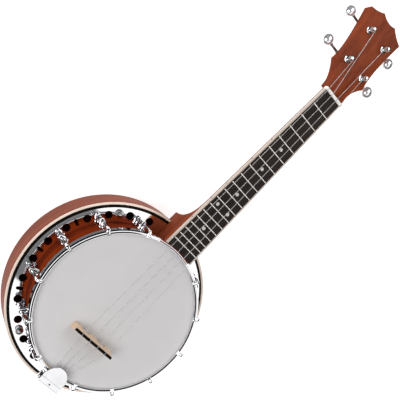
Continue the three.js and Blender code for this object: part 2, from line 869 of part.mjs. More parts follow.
// Bracket hook: a shoe on the rim, the hook that passes through it, its claw over the hoop and its nut below
function hookShape() {
  const shoeBack = rimRadius + clearance;
  const oval = circle(1, postSides);
  const shoe = loft(shoeShares.map(([reachShare, sizeShare]) => oval.map(([u, v]) => [
    shoeBack + reachShare * shoeReach,
    (u * sizeShare * shoeWidth) / 2,
    shoeMiddle + (v * sizeShare * shoeHeight) / 2,
  ])));
  const shoeFoot = shoeMiddle - shoeHeight / 2;
  const clawTop = notchFloor + clearance + clawThickness;
  const clawUnder = clawTop - clawThickness;
  const half = clawThickness / 2;
  const clawFoot = clawUnder - clawShoulder;
  const claw = crossPlate([
    [hookCircle - half, clawFoot],
    [hookCircle + half, clawFoot],
    [hookCircle + half, clawTop - half],
    [hookCircle, clawTop],
    [hoopInnerRadius + clearance, clawTop],
    [hoopInnerRadius + clearance, clawUnder],
    [hookCircle - clawThickness, clawUnder],
    [hookCircle - half, clawUnder - half],
  ], -clawWidth / 2, clawWidth / 2);
  const rodFoot = shoeFoot - hookNutHeight - clearance;
  const rod = bar([hookCircle, 0, rodFoot], [hookCircle, 0, clawFoot + half], hookRod, hookSides);
  const nut = bar([hookCircle, 0, shoeFoot - hookNutHeight], [hookCircle, 0, shoeFoot + half], hookNut, 6);
  return join(shoe, rod, claw, nut);
}

function addHooks() {
  const geometry = hookShape();
  hookAngles.forEach((angle, i) => {
    const hook = add(`bracket_hook_${String(i + 1).padStart(2, '0')}`, geometry, chrome());
    hook.rotation.z = angle * degree;
  });
}

function addThumbscrews() {
  const foot = flangeBottom - lugDepth;
  const seat = flangeTop + clearance;
  const half = thumbHead / 2;
  const geometry = turned([
    [0, foot],
    [thumbShank / 2, foot],
    [thumbShank / 2, seat],
    ...thumbShares.map(([widthShare, heightShare]) => [widthShare * half, seat + heightShare * thumbHeight]),
  ], roundSides);
  thumbAngles.forEach((angle, i) => {
    const screw = add(`thumbscrew_${i + 1}`, geometry, chrome());
    screw.position.set(...polar(thumbCircle, angle), 0);
  });
}

// Coordinator rod with its two lock nuts inside the rim
function addRod() {
  const bore = (rimRadius - rimWall) * Math.cos(Math.PI / ringSides);
  const inside = Math.sqrt(bore ** 2 - (rodNut / 2) ** 2) - clearance;
  const rod = bar(
    [-(tailNutFace + tailNutHeight + clearance * 2), 0, rodHeight],
    [rimRadius + rodGrip, 0, rodHeight],
    rodThickness,
  );
  const lockNuts = [1, -1].map((side) => bar(
    [side * (inside - rodNutHeight), 0, rodHeight],
    [side * inside, 0, rodHeight],
    rodNut,
    6,
  ));
  add('coordinator_rod', join(rod, ...lockNuts), chrome());
}

// Tailpiece: hanger, shelf and slotted lip in one bracket, nut, hinge pin and hinged cover
function addTailpiece() {
  const half = tailWidth / 2;
  const split = hingeSplit / 2;
  const foot = block(-(tailFace + hangerPlate), -tailFace, -hangerWidth / 2, hangerWidth / 2,
    rodHeight - tailNut, rodHeight + tailNut);
  const strut = crossPlate([
    [-tailFace, rodHeight + tailNut - hangerPlate],
    [-tailFace - hangerPlate, rodHeight + tailNut - hangerPlate],
    [shelfFront - hangerPlate, shelfTop - shelfPlate],
    [shelfFront - hangerPlate, shelfTop],
    [shelfFront, shelfTop],
    [shelfFront, shelfTop - shelfPlate],
    [-tailFace, rodHeight + tailNut],
  ], -hangerWidth / 2, hangerWidth / 2);
  const shelf = block(hingeX - barrel, shelfFront, -half, half, shelfTop - shelfPlate, shelfTop);
  const lipTop = coverBottom - coverPlate;
  const lip = block(shelfFront - lipPlate, shelfFront, -half + lipPlate, half - lipPlate,
    shelfTop - clearance, lipTop);
  const cheek = barrel * cheekShare;
  const knuckles = [1, -1].flatMap((side) => {
    const from = Math.min(side * (split + clearance), side * half);
    const to = Math.max(side * (split + clearance), side * half);
    return [
      bar([hingeX, from, hingeZ], [hingeX, to, hingeZ], hingeWidth),
      block(hingeX - cheek, hingeX + cheek, from, to, shelfTop - clearance, hingeZ),
    ];
  });
  const pinBore = bar([hingeX, -tailWidth, hingeZ], [hingeX, tailWidth, hingeZ], hingePin + 2 * clearance);
  const rodBore = bar([-tailFace - tailNut, 0, rodHeight], [-tailFace + overrun, 0, rodHeight],
    rodThickness + 2 * clearance);
  const slottedLip = cut(lip, ...stringSlots(bendAtLip, lipPlate));
  const bracket = join(foot, strut, shelf, slottedLip, ...knuckles);
  add('tailpiece_bracket', cut(bracket, pinBore, rodBore), chrome());

  const nut = bar([-tailNutFace - tailNutHeight, 0, rodHeight], [-tailNutFace, 0, rodHeight], tailNut, 6);
  add('tailpiece_nut', cut(nut, rodBore), chrome());
  const pinEnd = half - clearance;
  add('tailpiece_pin', bar([hingeX, -pinEnd, hingeZ], [hingeX, pinEnd, hingeZ], hingePin), chrome());

  const discMiddle = -hoopOuterRadius;
  const rear = discMiddle - coverRear;
  const leaf = plate([[rear, -half], ...arc(half, -Math.PI / 2, Math.PI / 2, 16, discMiddle), [rear, half]],
    coverBottom, coverTop);
  const [footInner, footOuter, tongueInner, tongueOuter] = hingeShares.map(([acrossShare, upShare]) => (
    [hingeX + barrel * acrossShare, hingeZ + barrel * upShare]));
  const fall = crossPlate([
    [rear, coverTop],
    [rear + coverPlate, coverTop],
    [rear + coverPlate, coverBottom],
    footInner,
    footOuter,
  ], -half, half);
  const tongueHalf = split - clearance;
  const tongue = crossPlate([
    footOuter,
    footInner,
    tongueInner,
    tongueOuter,
  ], -tongueHalf, tongueHalf);
  const knuckle = bar([hingeX, -tongueHalf, hingeZ], [hingeX, tongueHalf, hingeZ], hingeWidth);
  add('tailpiece_cover', cut(join(leaf, fall, tongue, knuckle), pinBore), chrome());
}

// Tuning machine: bushing in front, plate with ears behind, post with its gear, worm shaft with its button
const buttonReach = headstockHalf + buttonGap + buttonHalfLength - postSpread;
const wormOffset = gearWidth / 2 + wormWidth / 2 + clearance;
const plateBottom = -headstockPlate - clearance - tunerPlate;
const gearTop = plateBottom - gearDrop;
const gearBottom = gearTop - gearThickness;
const wormLevel = (gearTop + gearBottom) / 2;

function addTuners() {
  const bore = postThickness / 2 + clearance;
  const bushing = turned([
    [bore, clearance + bushingRise],
    [(bushingShank + postThickness) / 4 + bore / 2, clearance + bushingRise],
    [bushingWidth / 2, clearance + bushingRise / 2],
    [bushingWidth / 2, clearance],
    [bushingShank / 2, clearance],
    [bushingShank / 2, clearance - headstockPlate],
    [bore, clearance - headstockPlate],
  ], roundSides);
  const thick = postThickness / 2;
  const waist = postWaist / 2;
  const post = turned([
    [0, gearBottom - tunerPlate],
    [thick, gearBottom - tunerPlate],
    [thick, gearBottom],
    [gearWidth / 2, gearBottom],
    [gearWidth / 2, gearTop],
    [thick + tunerPlate, gearTop],
    [thick + tunerPlate, plateBottom - clearance],
    [thick, plateBottom - clearance],
    [thick, waistStart],
    [waist, waistStart + (thick - waist)],
    [waist, waistEnd - (thick - waist)],
    [thick, waistEnd],
    [thick, postRise - (thick - waist)],
    [waist, postRise],
    [0, postRise],
  ], postSides);
  const earStart = wormLength / 2 + clearance;
  const plateEnd = earStart + earThickness + tunerPlate;
  postPlaces.forEach(({ along, side }, i) => {
    const number = i + 1;
    const middle = [along, side * postSpread];
    const across = (from, to) => (side > 0 ? [from, to] : [-to, -from]);
    const base = block(-tunerPlateBack, wormOffset + tunerPlateFront, ...across(-plateEnd, plateEnd),
      plateBottom, plateBottom + tunerPlate);
    const ears = [-1, 1].map((end) => {
      const span = end > 0 ? [earStart, earStart + earThickness] : [-earStart - earThickness, -earStart];
      return block(wormOffset - earWidth / 2, wormOffset + earWidth / 2, ...across(...span),
        plateBottom - earHeight, plateBottom + tunerPlate / 2);
    });
    const postBore = bar([0, 0, plateBottom - overrun], [0, 0, plateBottom + tunerPlate + overrun], 2 * bore);
    const shaftBore = bar([wormOffset, -postSpread, wormLevel], [wormOffset, postSpread, wormLevel],
      shaftWidth + 2 * clearance, holeSides);
    const shaftEnd = earStart + earThickness + clearance * 2;
    const shaft = bar([wormOffset, -side * shaftEnd, wormLevel], [wormOffset, side * buttonReach, wormLevel],
      shaftWidth, holeSides);
    const worm = bar([wormOffset, -wormLength / 2, wormLevel], [wormOffset, wormLength / 2, wormLevel],
      wormWidth, postSides);
    const button = new THREE.SphereGeometry(1, roundSides, holeSides);
    button.scale(buttonHalfWidth, buttonHalfLength, buttonHalfDepth);
    button.translate(wormOffset, side * buttonReach, wormLevel);
    const pieces = {
      tuner_plate: cut(join(base, ...ears), postBore, shaftBore),
      tuner_button: join(shaft, worm, button),
      tuner_post: post,
      tuner_bushing: bushing,
    };
    for (const [name, geometry] of Object.entries(pieces)) {
      const mesh = add(`${name}_${number}`, geometry, chrome(), headstockGroup);
      mesh.position.set(...middle, 0);
    }
  });
}

// Least gap of a winding to itself and to the straight run before it, on points over half a turn apart
function windingGap(route, { thickness }) {
  const step = turn * (postWaist / 2 + clearance + thickness / 2) / windSteps;
  const start = route.length - 1 - windTurns * windSteps;
  const wound = route.slice(start).map((point) => new THREE.Vector3(...point));
  const back = new THREE.Vector3(...route[start - 1]).sub(wound[0]).normalize();
  const straight = Array.from({ length: windSteps }, (_, i) => (
    wound[0].clone().addScaledVector(back, step * (i + 1))));
  const points = [...straight.reverse(), ...wound];
  let least = Infinity;
  for (let i = 0; i < points.length; i += 1) {
    for (let j = i + windSteps / 2; j < points.length; j += 1) {
      least = Math.min(least, points[i].distanceTo(points[j]) - thickness);
    }
  }
  return least;
}

function addStrings() {
  stringPlaces.forEach((place, i) => {
    const route = routes[i];
    const knot = new THREE.SphereGeometry(knotWidth / 2, 8, 6).translate(...route[0]);
    console.log(`string_${i + 1} winding gap ${windingGap(route, place).toFixed(2)} mm`);
    add(`string_${i + 1}`, join(cord(route, place.thickness), knot), nylon());
  });
}

addNeck();
addFretboard();
addNut();
addTuners();
addStrings();
addBridge();
addTailpiece();
addHead();
addHoop();
addRim();
addFlange();
addResonator();
addHooks();
addThumbscrews();
addRod();

export default part;
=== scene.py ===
"""Banjo ukulele: modelled pieces, finishes, light and camera around the packed model."""

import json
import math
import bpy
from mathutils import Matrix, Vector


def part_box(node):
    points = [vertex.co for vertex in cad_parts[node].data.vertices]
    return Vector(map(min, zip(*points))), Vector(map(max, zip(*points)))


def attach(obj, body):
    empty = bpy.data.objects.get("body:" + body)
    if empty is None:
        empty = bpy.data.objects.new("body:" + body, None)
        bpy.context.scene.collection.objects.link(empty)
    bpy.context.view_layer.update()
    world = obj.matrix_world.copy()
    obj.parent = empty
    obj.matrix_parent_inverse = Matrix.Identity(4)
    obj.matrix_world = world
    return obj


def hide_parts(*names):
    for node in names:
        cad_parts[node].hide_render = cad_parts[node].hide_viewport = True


bl_info = {
    "name": "Banjo Ukulele",
    "version": (1, 0, 0),
    "blender": (4, 5, 0),
    "location": "View3D > Sidebar > Banjo Ukulele",
    "description": "Models a four-string resonator banjo ukulele with its finishes and a plain stage",
    "category": "Add Mesh",
}

import bmesh
import bpy
from bpy.props import FloatProperty, FloatVectorProperty, IntProperty, PointerProperty
from mathutils import Matrix, Vector

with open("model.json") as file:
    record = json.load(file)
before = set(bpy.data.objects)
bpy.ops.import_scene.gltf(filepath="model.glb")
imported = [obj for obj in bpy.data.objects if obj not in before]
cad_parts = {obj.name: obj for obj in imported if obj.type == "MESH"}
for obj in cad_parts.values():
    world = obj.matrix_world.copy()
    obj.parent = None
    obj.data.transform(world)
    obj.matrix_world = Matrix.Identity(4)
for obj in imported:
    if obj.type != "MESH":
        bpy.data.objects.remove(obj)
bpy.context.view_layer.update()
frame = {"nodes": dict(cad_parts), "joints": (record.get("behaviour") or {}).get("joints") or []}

MM = 0.001
TURN = 2 * math.pi
WELD = 0.01 * MM
HAIR = 0.05 * MM
CLEAR = 0.3 * MM
RING_STEPS = 192
HOOP_STEPS = 288
FINE_STEPS = 32


def low(node):
    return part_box(node)[0]


def high(node):
    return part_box(node)[1]


def heights(node):
    return low(node).z, high(node).z


def joint_place(name):
    joint = next(joint for joint in frame["joints"] if joint["name"] == name)
    return Vector(joint["pos_m"])


# Heights and radii that the packed model gives
RESONATOR_R = high("resonator_side").y
BINDING_TOP = high("resonator_binding").z
PURFLING_R = high("resonator_purfling").y
PURFLING_FOOT = low("resonator_purfling").z
BACK_TOP = high("resonator_back").z
FLANGE_R = high("flange").y
FLANGE_FOOT, FLANGE_TOP = heights("flange")
RIM_LEDGE_R = high("rim").y
RIM_FOOT, RIM_TOP = heights("rim")
HEAD_R = high("head").y
HEAD_FOOT, HEAD_TOP = heights("head")
COLLAR_FOOT = low("head_collar").z
HOOP_R = high("tension_hoop").y
HOOP_FOOT, HOOP_TOP = heights("tension_hoop")
HOOK_FOOT = low("bracket_hook_01").z
SCREW_FOOT = low("thumbscrew_1").z
ROD_LEVEL = sum(heights("coordinator_rod")) / 2
NUT_FRONT = low("nut").x - CLEAR
NUT_BACK = high("nut").x
NUT_TOP = high("nut").z
BOARD_FOOT, FRET_TOP = heights("fretboard")
BOARD_END_R = HOOP_R + CLEAR
HEEL_FOOT, HEADSTOCK_FACE = heights("neck")
BRIDGE_X = (low("bridge_top").x + high("bridge_top").x) / 2
SADDLE_FOOT, BRIDGE_TOP = heights("bridge_top")
HINGE = joint_place("tailpiece_hinge")
COVER_TOP = high("tailpiece_cover").z
TAIL_HALF = high("tailpiece_cover").y
STRAP_FOOT, LIP_TOP = heights("tailpiece_bracket")


def length(name, millimetres, description):
    return FloatProperty(name=name, description=description, default=millimetres * MM,
                         unit="LENGTH", precision=4)


def angle(name, degrees, description):
    return FloatProperty(name=name, description=description, default=math.radians(degrees),
                         subtype="ANGLE", unit="ROTATION")


def count(name, number, description):
    return IntProperty(name=name, description=description, default=number, min=1)


def share(name, value, description):
    return FloatProperty(name=name, description=description, default=value, min=0.0, max=1.0,
                         subtype="FACTOR")


def amount(name, value, description, unit="NONE"):
    return FloatProperty(name=name, description=description, default=value, unit=unit)


def colour(name, value, description):
    return FloatVectorProperty(name=name, description=description, default=value, size=3,
                               min=0.0, max=1.0, subtype="COLOR")


class PotSizes(bpy.types.PropertyGroup):
    """Sizes of the resonator, flange, rim, head and hoop"""

    back_edge: length("Back Edge", 22.3, "Width of the rounded edge of the resonator's back")
    wall: length("Resonator Wall", 5.6, "Thickness of the resonator's side")
    back_plate: length("Back Plate", 4.2, "Thickness of the resonator's back")
    binding: length("Binding Depth", 0.9, "Depth of the cream binding on the resonator's side")
    ledge: length("Rim Ledge", 1.8, "Width of the rim's ledge under the flange")
    rim_wall: length("Rim Wall", 10.0, "Thickness of the wooden shell")
    hole: length("Flange Hole", 9.6, "Width of a round hole in the flange")
    hole_circle: length("Hole Circle", 106.8, "Radius that the flange's holes lie on")
    hole_spread: angle("Hole Spread", 6.8, "Angle from a hook's place to the holes beside it")
    slot_length: length("Slot Length", 8.6, "Length of a slot in the flange")
    slot_end: length("Slot End", 4.2, "Width of a slot's round ends")
    slot_waist: length("Slot Waist", 3.0, "Width of a slot at its middle")
    hoop_width: length("Hoop Width", 4.9, "Width of the tension hoop's top")
    crown: length("Hoop Crown", 1.7, "Rise of the hoop's inner bead over its outer land")
    inner_slope: length("Hoop Slope", 1.42, "Height of the sloped inner edge of the bead")


class HookSizes(bpy.types.PropertyGroup):
    """Sizes of the bracket hooks and thumbscrews"""

    per_side: count("Hooks A Side", 6, "Number of bracket hooks on each side of the neck")
    first: angle("First Hook", 25.9, "Angle from the neck to the first hook's place")
    step: angle("Hook Step", 27.4, "Angle between two hooks")
    shift: angle("Hook Shift", -1.2, "Angle that the hooks have crept round from their places")
    rod: length("Hook Rod", 3.0, "Thickness of a hook's round rod")
    claw_width: length("Claw Width", 3.8, "Width of the flat claw over the hoop")
    claw: length("Claw Thickness", 2.0, "Thickness of the claw")
    gap: length("Hook Gap", 2.8, "Distance from the hoop to the middle of a hook's rod")
    shoe_width: length("Shoe Width", 9.8, "Width of the domed shoe on the rim")
    shoe_height: length("Shoe Height", 13.2, "Height of the shoe")
    shoe_reach: length("Shoe Reach", 10.6, "Distance that the shoe stands off the rim")
    notch_floor: length("Notch Depth", 1.7, "Depth of the notch that a claw lies in")
    nut_width: length("Hook Nut", 6.0, "Width of the hexagonal nut under the shoe")
    nut_height: length("Hook Nut Height", 3.2, "Height of the nut")
    thumb_width: length("Thumbscrew Head", 9.8, "Width of a thumbscrew's knurled head")
    thumb_height: length("Thumbscrew Height", 8.4, "Height of the head over the flange")
    thumb_shank: length("Thumbscrew Shank", 3.2, "Thickness of a thumbscrew's shank")


class NeckSizes(bpy.types.PropertyGroup):
    """Sizes of the neck, headstock and fretboard"""

    scale_length: length("Scale", 381.0, "Length of the open strings that sets the frets")
    frets: count("Frets", 18, "Number of frets")
    nut_width: length("Width At Nut", 26.6, "Width of the black board at the nut")
    end_width: length("Width At Body", 38.6, "Width of the black board at the body")
    binding: length("Board Binding", 2.0, "Width of the cream strip on each side of the board")
    fret_width: length("Fret Width", 2.0, "Width of a fret wire")
    fret_rise: length("Fret Rise", 0.9, "Height of a fret wire over the board")
    depth_nut: length("Depth At Nut", 14.3, "Depth of the neck under the board at the nut")
    depth_body: length("Depth At Body", 17.3, "Depth of the neck before the heel")
    heel_overhang: length("Heel Overhang", 11.7, "Reach of the heel past the resonator")
    heel_sweep: length("Heel Sweep", 34.0, "Length over which the neck sweeps down to the heel")
    heel_taper: share("Heel Taper", 0.62, "Share of the width that the heel loses at its foot")
    headstock: length("Headstock Length", 129.0, "Length of the headstock")
    headstock_half: length("Headstock Half Width", 33.0, "Distance from the middle to a horn")
    headstock_plate: length("Headstock Thickness", 13.0, "Thickness of the headstock")
    headstock_angle: angle("Headstock Angle", 15.0, "Angle that the headstock leans back")
    dot: length("Position Dot", 4.4, "Width of a pearl dot")


class TunerSizes(bpy.types.PropertyGroup):
    """Sizes of a tuning machine"""

    post: length("Post", 5.0, "Thickness of a string post")
    waist: length("Post Waist", 4.2, "Thickness of the post where the string winds")
    rise: length("Post Rise", 12.0, "Height of the post over the headstock")
    waist_end: length("Waist End", 9.6, "Height where the waist ends")
    bushing: length("Bushing", 9.4, "Width of the bushing's collar")
    bushing_shank: length("Bushing Shank", 7.4, "Width of the bushing in the wood")
    bushing_rise: length("Bushing Rise", 2.0, "Height of the bushing over the headstock")
    plate: length("Machine Plate", 1.0, "Thickness of the plate behind the headstock")
    gear: length("Gear", 10.4, "Width of the worm wheel")
    gear_height: length("Gear Height", 3.4, "Height of the worm wheel")
    gear_drop: length("Gear Drop", 1.5, "Gap from the plate to the worm wheel")
    worm: length("Worm", 5.0, "Width of the worm")
    worm_length: length("Worm Length", 10.6, "Length of the worm")
    shaft: length("Shaft", 3.3, "Thickness of the button's shaft")
    ear: length("Ear", 6.4, "Width and drop of the ears that carry the worm")
    ear_plate: length("Ear Thickness", 1.2, "Thickness of an ear")
    button_gap: length("Button Gap", 3.1, "Distance from the headstock's horn to the button")
    button_long: length("Button Half Length", 7.8, "Half of the button's length on its shaft")
    button_wide: length("Button Half Width", 8.2, "Half of the button's width")
    button_deep: length("Button Half Depth", 7.2, "Half of the button's depth")
    teeth: count("Teeth", 15, "Number of teeth on the worm wheel")


class StringSizes(bpy.types.PropertyGroup):
    """Sizes of the strings, bridge and tailpiece"""

    pitch_nut: length("Pitch At Nut", 8.8, "Distance between strings at the nut")
    pitch_bridge: length("Pitch At Bridge", 12.4, "Distance between strings at the bridge")
    pitch_tail: length("Pitch At Tail", 6.4, "Distance between strings at the tailpiece")
    nut_length: length("Nut Length", 3.9, "Thickness of the nut along the neck")
    turns: count("Turns", 2, "Number of turns on a post")
    wind_pitch: length("Winding Pitch", 1.75, "Distance between turns on a post")
    foot_width: length("Bridge Foot", 8.4, "Thickness of the bridge at its feet")
    foot_length: length("Bridge Foot Length", 10.5, "Length of one foot of the bridge")
    bridge_top: length("Bridge Top", 3.0, "Thickness of the bridge at its top")
    arch: length("Bridge Arch", 6.4, "Height of the bridge's two arches")
    shoulder: length("Bridge Shoulder", 3.0, "Size of the bridge's sloped upper corners")
    cover: length("Cover Plate", 1.2, "Thickness of the tailpiece's cover")
    cover_rear: length("Cover Rear", 5.0, "Reach of the cover behind the hoop's edge")
    hinge: length("Hinge Barrel", 4.4, "Thickness of the hinge's barrel")
    hinge_split: length("Hinge Split", 14.8, "Length of the cover's knuckle on the hinge")
    shelf: length("Shelf", 2.6, "Thickness of the shelf that carries the hinge")
    hanger: length("Hanger", 18.0, "Width of the strap down to the rod")
    hanger_plate: length("Hanger Thickness", 1.8, "Thickness of the strap")


class FinishColours(bpy.types.PropertyGroup):
    """Colours of the finishes"""

    mahogany: colour("Mahogany", (0.280, 0.057, 0.021), "Red-brown stained wood")
    mahogany_dark: colour("Mahogany Grain", (0.085, 0.018, 0.010), "Pores and dark bands of that wood")
    shell: colour("Shell Wood", (0.27, 0.030, 0.001), "Orange-brown wood of the rim")
    shell_dark: colour("Shell Grain", (0.13, 0.016, 0.004), "Dark streaks of the rim")
    maple: colour("Maple", (0.80, 0.58, 0.40), "Pale wood of the bridge")
    blackwood: colour("Blackwood", (0.010, 0.007, 0.006), "Near-black wood of the board")
    blackwood_light: colour("Blackwood Grain", (0.055, 0.038, 0.030), "Lighter streaks of the board")
    cream: colour("Cream", (0.97, 0.81, 0.69), "Binding of the resonator")
    line: colour("Black Line", (0.004, 0.003, 0.003), "Black ring inside the binding")
    skin: colour("Skin", (0.660, 0.643, 0.646), "Coated head")
    nut: colour("Nut White", (0.98, 0.94, 0.89), "Nut")
    nylon: colour("Nylon", (0.80, 0.785, 0.785), "Strings")
    chrome: colour("Chrome", (0.86, 0.86, 0.88), "Plated metal")
    pearl: colour("Pearl", (0.42, 0.40, 0.38), "Position dots")
    fret: colour("Fret Wire", (0.90, 0.86, 0.80), "Frets")


class StageLook(bpy.types.PropertyGroup):
    """Look of the floor and the lights"""

    floor: colour("Floor", (0.70, 0.70, 0.70), "Colour of the plain floor")
    floor_size: amount("Floor Size", 1.02, "Width of the floor", "LENGTH")
    key: amount("Key Light", 28.0, "Power of the large light from the upper left", "POWER")
    fill: amount("Fill Light", 11.0, "Power of the light from the other side", "POWER")
    low_front: amount("Low Front Light", 13.0, "Power of the low light on the sides", "POWER")
    overhead: amount("Overhead Panels", 1.12, "Brightness of the panels over the pot")
    sky: amount("Sky", 1.0, "Strength of the light from all round")
    glow: amount("Floor Glow", 0.75, "Light that the floor gives off")


# Shape helpers

def deselect():
    bpy.ops.object.select_all(action="DESELECT")


def activate(piece):
    deselect()
    piece.select_set(True)
    bpy.context.view_layer.objects.active = piece


def named(name):
    piece = bpy.context.object
    piece.name = piece.data.name = name
    return piece


def begin(name, point):
    """Starts a piece as one vertex and leaves it in edit mode"""
    deselect()
    bpy.ops.mesh.primitive_plane_add(size=MM, location=point)
    piece = named(name)
    bpy.ops.object.transform_apply(location=True, rotation=False, scale=False)
    bpy.ops.object.mode_set(mode="EDIT")
    bpy.ops.mesh.select_mode(type="VERT")
    bpy.ops.mesh.select_all(action="SELECT")
    bpy.ops.mesh.merge(type="CENTER")
    return piece


def draw(points, closed):
    """Extrudes the one vertex along points, and back to the first when closed"""
    route = list(points) + [points[0]] * closed
    for before, after in zip(route, route[1:]):
        step = Vector(after) - Vector(before)
        bpy.ops.mesh.extrude_region_move(TRANSFORM_OT_translate={"value": step})
    bpy.ops.mesh.select_all(action="SELECT")
    bpy.ops.mesh.remove_doubles(threshold=WELD)


def finish_mesh():
    bpy.ops.mesh.select_all(action="SELECT")
    bpy.ops.mesh.remove_doubles(threshold=WELD)
    bpy.ops.mesh.normals_make_consistent(inside=False)
    bpy.ops.object.mode_set(mode="OBJECT")


def turned(name, profile, steps=RING_STEPS, centre=(0.0, 0.0)):
    """Spins pairs of radius and height about an upright axis; a ring's profile closes on itself"""
    points = [(centre[0] + radius, centre[1], height) for radius, height in profile]
    piece = begin(name, points[0])
    draw(points, closed=profile[0][0] > 0)
    bpy.ops.mesh.select_all(action="SELECT")
    bpy.ops.mesh.spin(steps=steps, angle=TURN, center=(*centre, 0.0), axis=(0, 0, 1))
    finish_mesh()
    return piece


def slab(name, outline, foot, top):
    """Extrudes an outline in X and Y from one height to another"""
    points = [(x, y, foot) for x, y in outline]
    piece = begin(name, points[0])
    draw(points, closed=True)
    bpy.ops.mesh.select_all(action="SELECT")
    bpy.ops.mesh.edge_face_add()
    bpy.ops.mesh.extrude_region_move(TRANSFORM_OT_translate={"value": (0, 0, top - foot)})
    finish_mesh()
    return piece


def skinned(name, rings):
    """Extrudes the first ring of points through the others and closes both ends"""
    deselect()
    bpy.ops.mesh.primitive_circle_add(vertices=len(rings[0]), radius=MM, fill_type="NGON")
    piece = named(name)
    bpy.ops.object.mode_set(mode="EDIT")
    bpy.ops.mesh.select_all(action="SELECT")
    for number, ring in enumerate(rings):
        if number:
            bpy.ops.mesh.extrude_region_move(TRANSFORM_OT_translate={"value": (0, 0, 0)})
        mesh = bmesh.from_edit_mesh(piece.data)
        chosen = [vert for vert in mesh.verts if vert.select]
        if number:
            order = {tuple(vert.co): vert for vert in chosen}
            chosen = [order[spot] for spot in spots]
        for vert, point in zip(chosen, ring):
            vert.co = point
        spots = [tuple(vert.co) for vert in chosen]
        bmesh.update_edit_mesh(piece.data)
    finish_mesh()
    return piece


def bar(name, section, start, end):
    """A straight bar along Y with one section in X and Z"""
    return skinned(name, [[(x, y, z) for x, z in section] for y in (start, end)])


def box_piece(name, corner, opposite):
    (x, y, z), (far_x, far_y, far_z) = corner, opposite
    return slab(name, [(x, y), (far_x, y), (far_x, far_y), (x, far_y)], z, far_z)


def rod(name, start, end, radius, steps=FINE_STEPS):
    """A round bar between two points"""
    along = Vector(end) - Vector(start)
    piece = turned(name, [(0, 0), (radius, 0), (radius, along.length), (0, along.length)], steps)
    return place(piece, Matrix.Translation(start) @ along.to_track_quat("Z", "Y").to_matrix().to_4x4())


def pipe(name, points, radius):
    """A tube with round section through a list of points"""
    curve = bpy.data.curves.new(name, "CURVE")
    curve.dimensions = "3D"
    curve.bevel_depth = radius
    curve.bevel_resolution = 1
    curve.use_fill_caps = True
    spline = curve.splines.new("POLY")
    spline.points.add(len(points) - 1)
    for spot, point in zip(spline.points, points):
        spot.co = (*point, 1.0)
    piece = bpy.data.objects.new(name, curve)
    bpy.context.collection.objects.link(piece)
    activate(piece)
    bpy.ops.object.convert(target="MESH")
    piece = named(name)
    bpy.ops.object.mode_set(mode="EDIT")
    finish_mesh()
    return piece


def place(piece, matrix):
    """Moves the mesh itself, so that the object stays at the origin"""
    piece.data.transform(matrix)
    if matrix.determinant() < 0:
        piece.data.flip_normals()
    piece.data.update()
    return piece


def swung(piece, turn):
    """Turns a piece about the middle of the pot"""
    return place(piece, Matrix.Rotation(turn, 4, "Z"))


def copied(piece, name, matrix):
    twin = piece.copy()
    twin.data = piece.data.copy()
    twin.name = twin.data.name = name
    bpy.context.collection.objects.link(twin)
    return place(twin, matrix)


def joined(name, pieces):
    activate(pieces[0])
    for piece in pieces:
        piece.select_set(True)
    bpy.ops.object.join()
    return named(name)


def modified(piece, kind, **settings):
    """Gives a piece a modifier and applies it"""
    modifier = piece.modifiers.new(kind, kind)
    for setting, value in settings.items():
        setattr(modifier, setting, value)
    activate(piece)
    bpy.ops.object.modifier_apply(modifier=modifier.name)
    return piece


def combined(piece, tools, operation="DIFFERENCE"):
    """Cuts the tools out of a piece or joins them to it, and removes the tools"""
    tool = joined("tool", tools) if len(tools) > 1 else tools[0]
    modified(piece, "BOOLEAN", operation=operation, solver="EXACT", use_self=operation == "UNION",
             object=tool)
    bpy.data.objects.remove(tool)
    return piece


def smooth(piece, degrees=35):
    activate(piece)
    bpy.ops.object.shade_smooth_by_angle(angle=math.radians(degrees))
    return modified(piece, "WEIGHTED_NORMAL", keep_sharp=True)


def softened(piece, width, segments=2):
    """Rounds the edges that turn by more than 30 degrees"""
    modified(piece, "BEVEL", width=width, segments=segments, limit_method="ANGLE",
             angle_limit=math.radians(30))
    return smooth(piece)


def painted(piece, look):
    piece.data.materials.clear()
    piece.data.materials.append(finish(look))
    return piece


def dressed(piece, look, slot, *nodes, body="instrument"):
    """Gives a piece its finish, unless its parts have theirs, parents it to its body and hides the packed
    parts that it stands for; the slot is not used
    """
    if look:
        painted(piece, look)
    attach(piece, body)
    if nodes:
        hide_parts(*nodes)
    return piece


def sweep(turn, steps):
    """Even steps from nothing to a turn, both ends included"""
    return [turn * step / steps for step in range(steps + 1)]


def polar(radius, turn):
    return (radius * math.cos(turn), radius * math.sin(turn))


def arc(radius, start, end, steps, centre=(0.0, 0.0)):
    """Points of a round stretch, both ends included"""
    turns = [start + turn for turn in sweep(end - start, steps)]
    return [(centre[0] + radius * math.cos(turn), centre[1] + radius * math.sin(turn)) for turn in turns]


def circle(radius, steps, centre=(0.0, 0.0)):
    return arc(radius, 0.0, TURN, steps, centre)[:-1]


def corner(radius, out, up, steps):
    """A rounded outer corner of a profile"""
    return arc(radius, 0, TURN / 4, steps, (out - radius, up - radius))


def near(out, up, *offsets):
    """Points at offsets in millimetres from one place"""
    return [(out + aside * MM, up + above * MM) for aside, above in offsets]


def bend(start, control, end, steps):
    """Points of a quadratic curve after its start"""
    points = []
    for part in sweep(1, steps)[1:]:
        first = Vector(start).lerp(Vector(control), part)
        second = Vector(control).lerp(Vector(end), part)
        points.append(tuple(first.lerp(second, part)))
    return points


def clamp(value):
    return min(max(value, 0.0), 1.0)


# Finishes

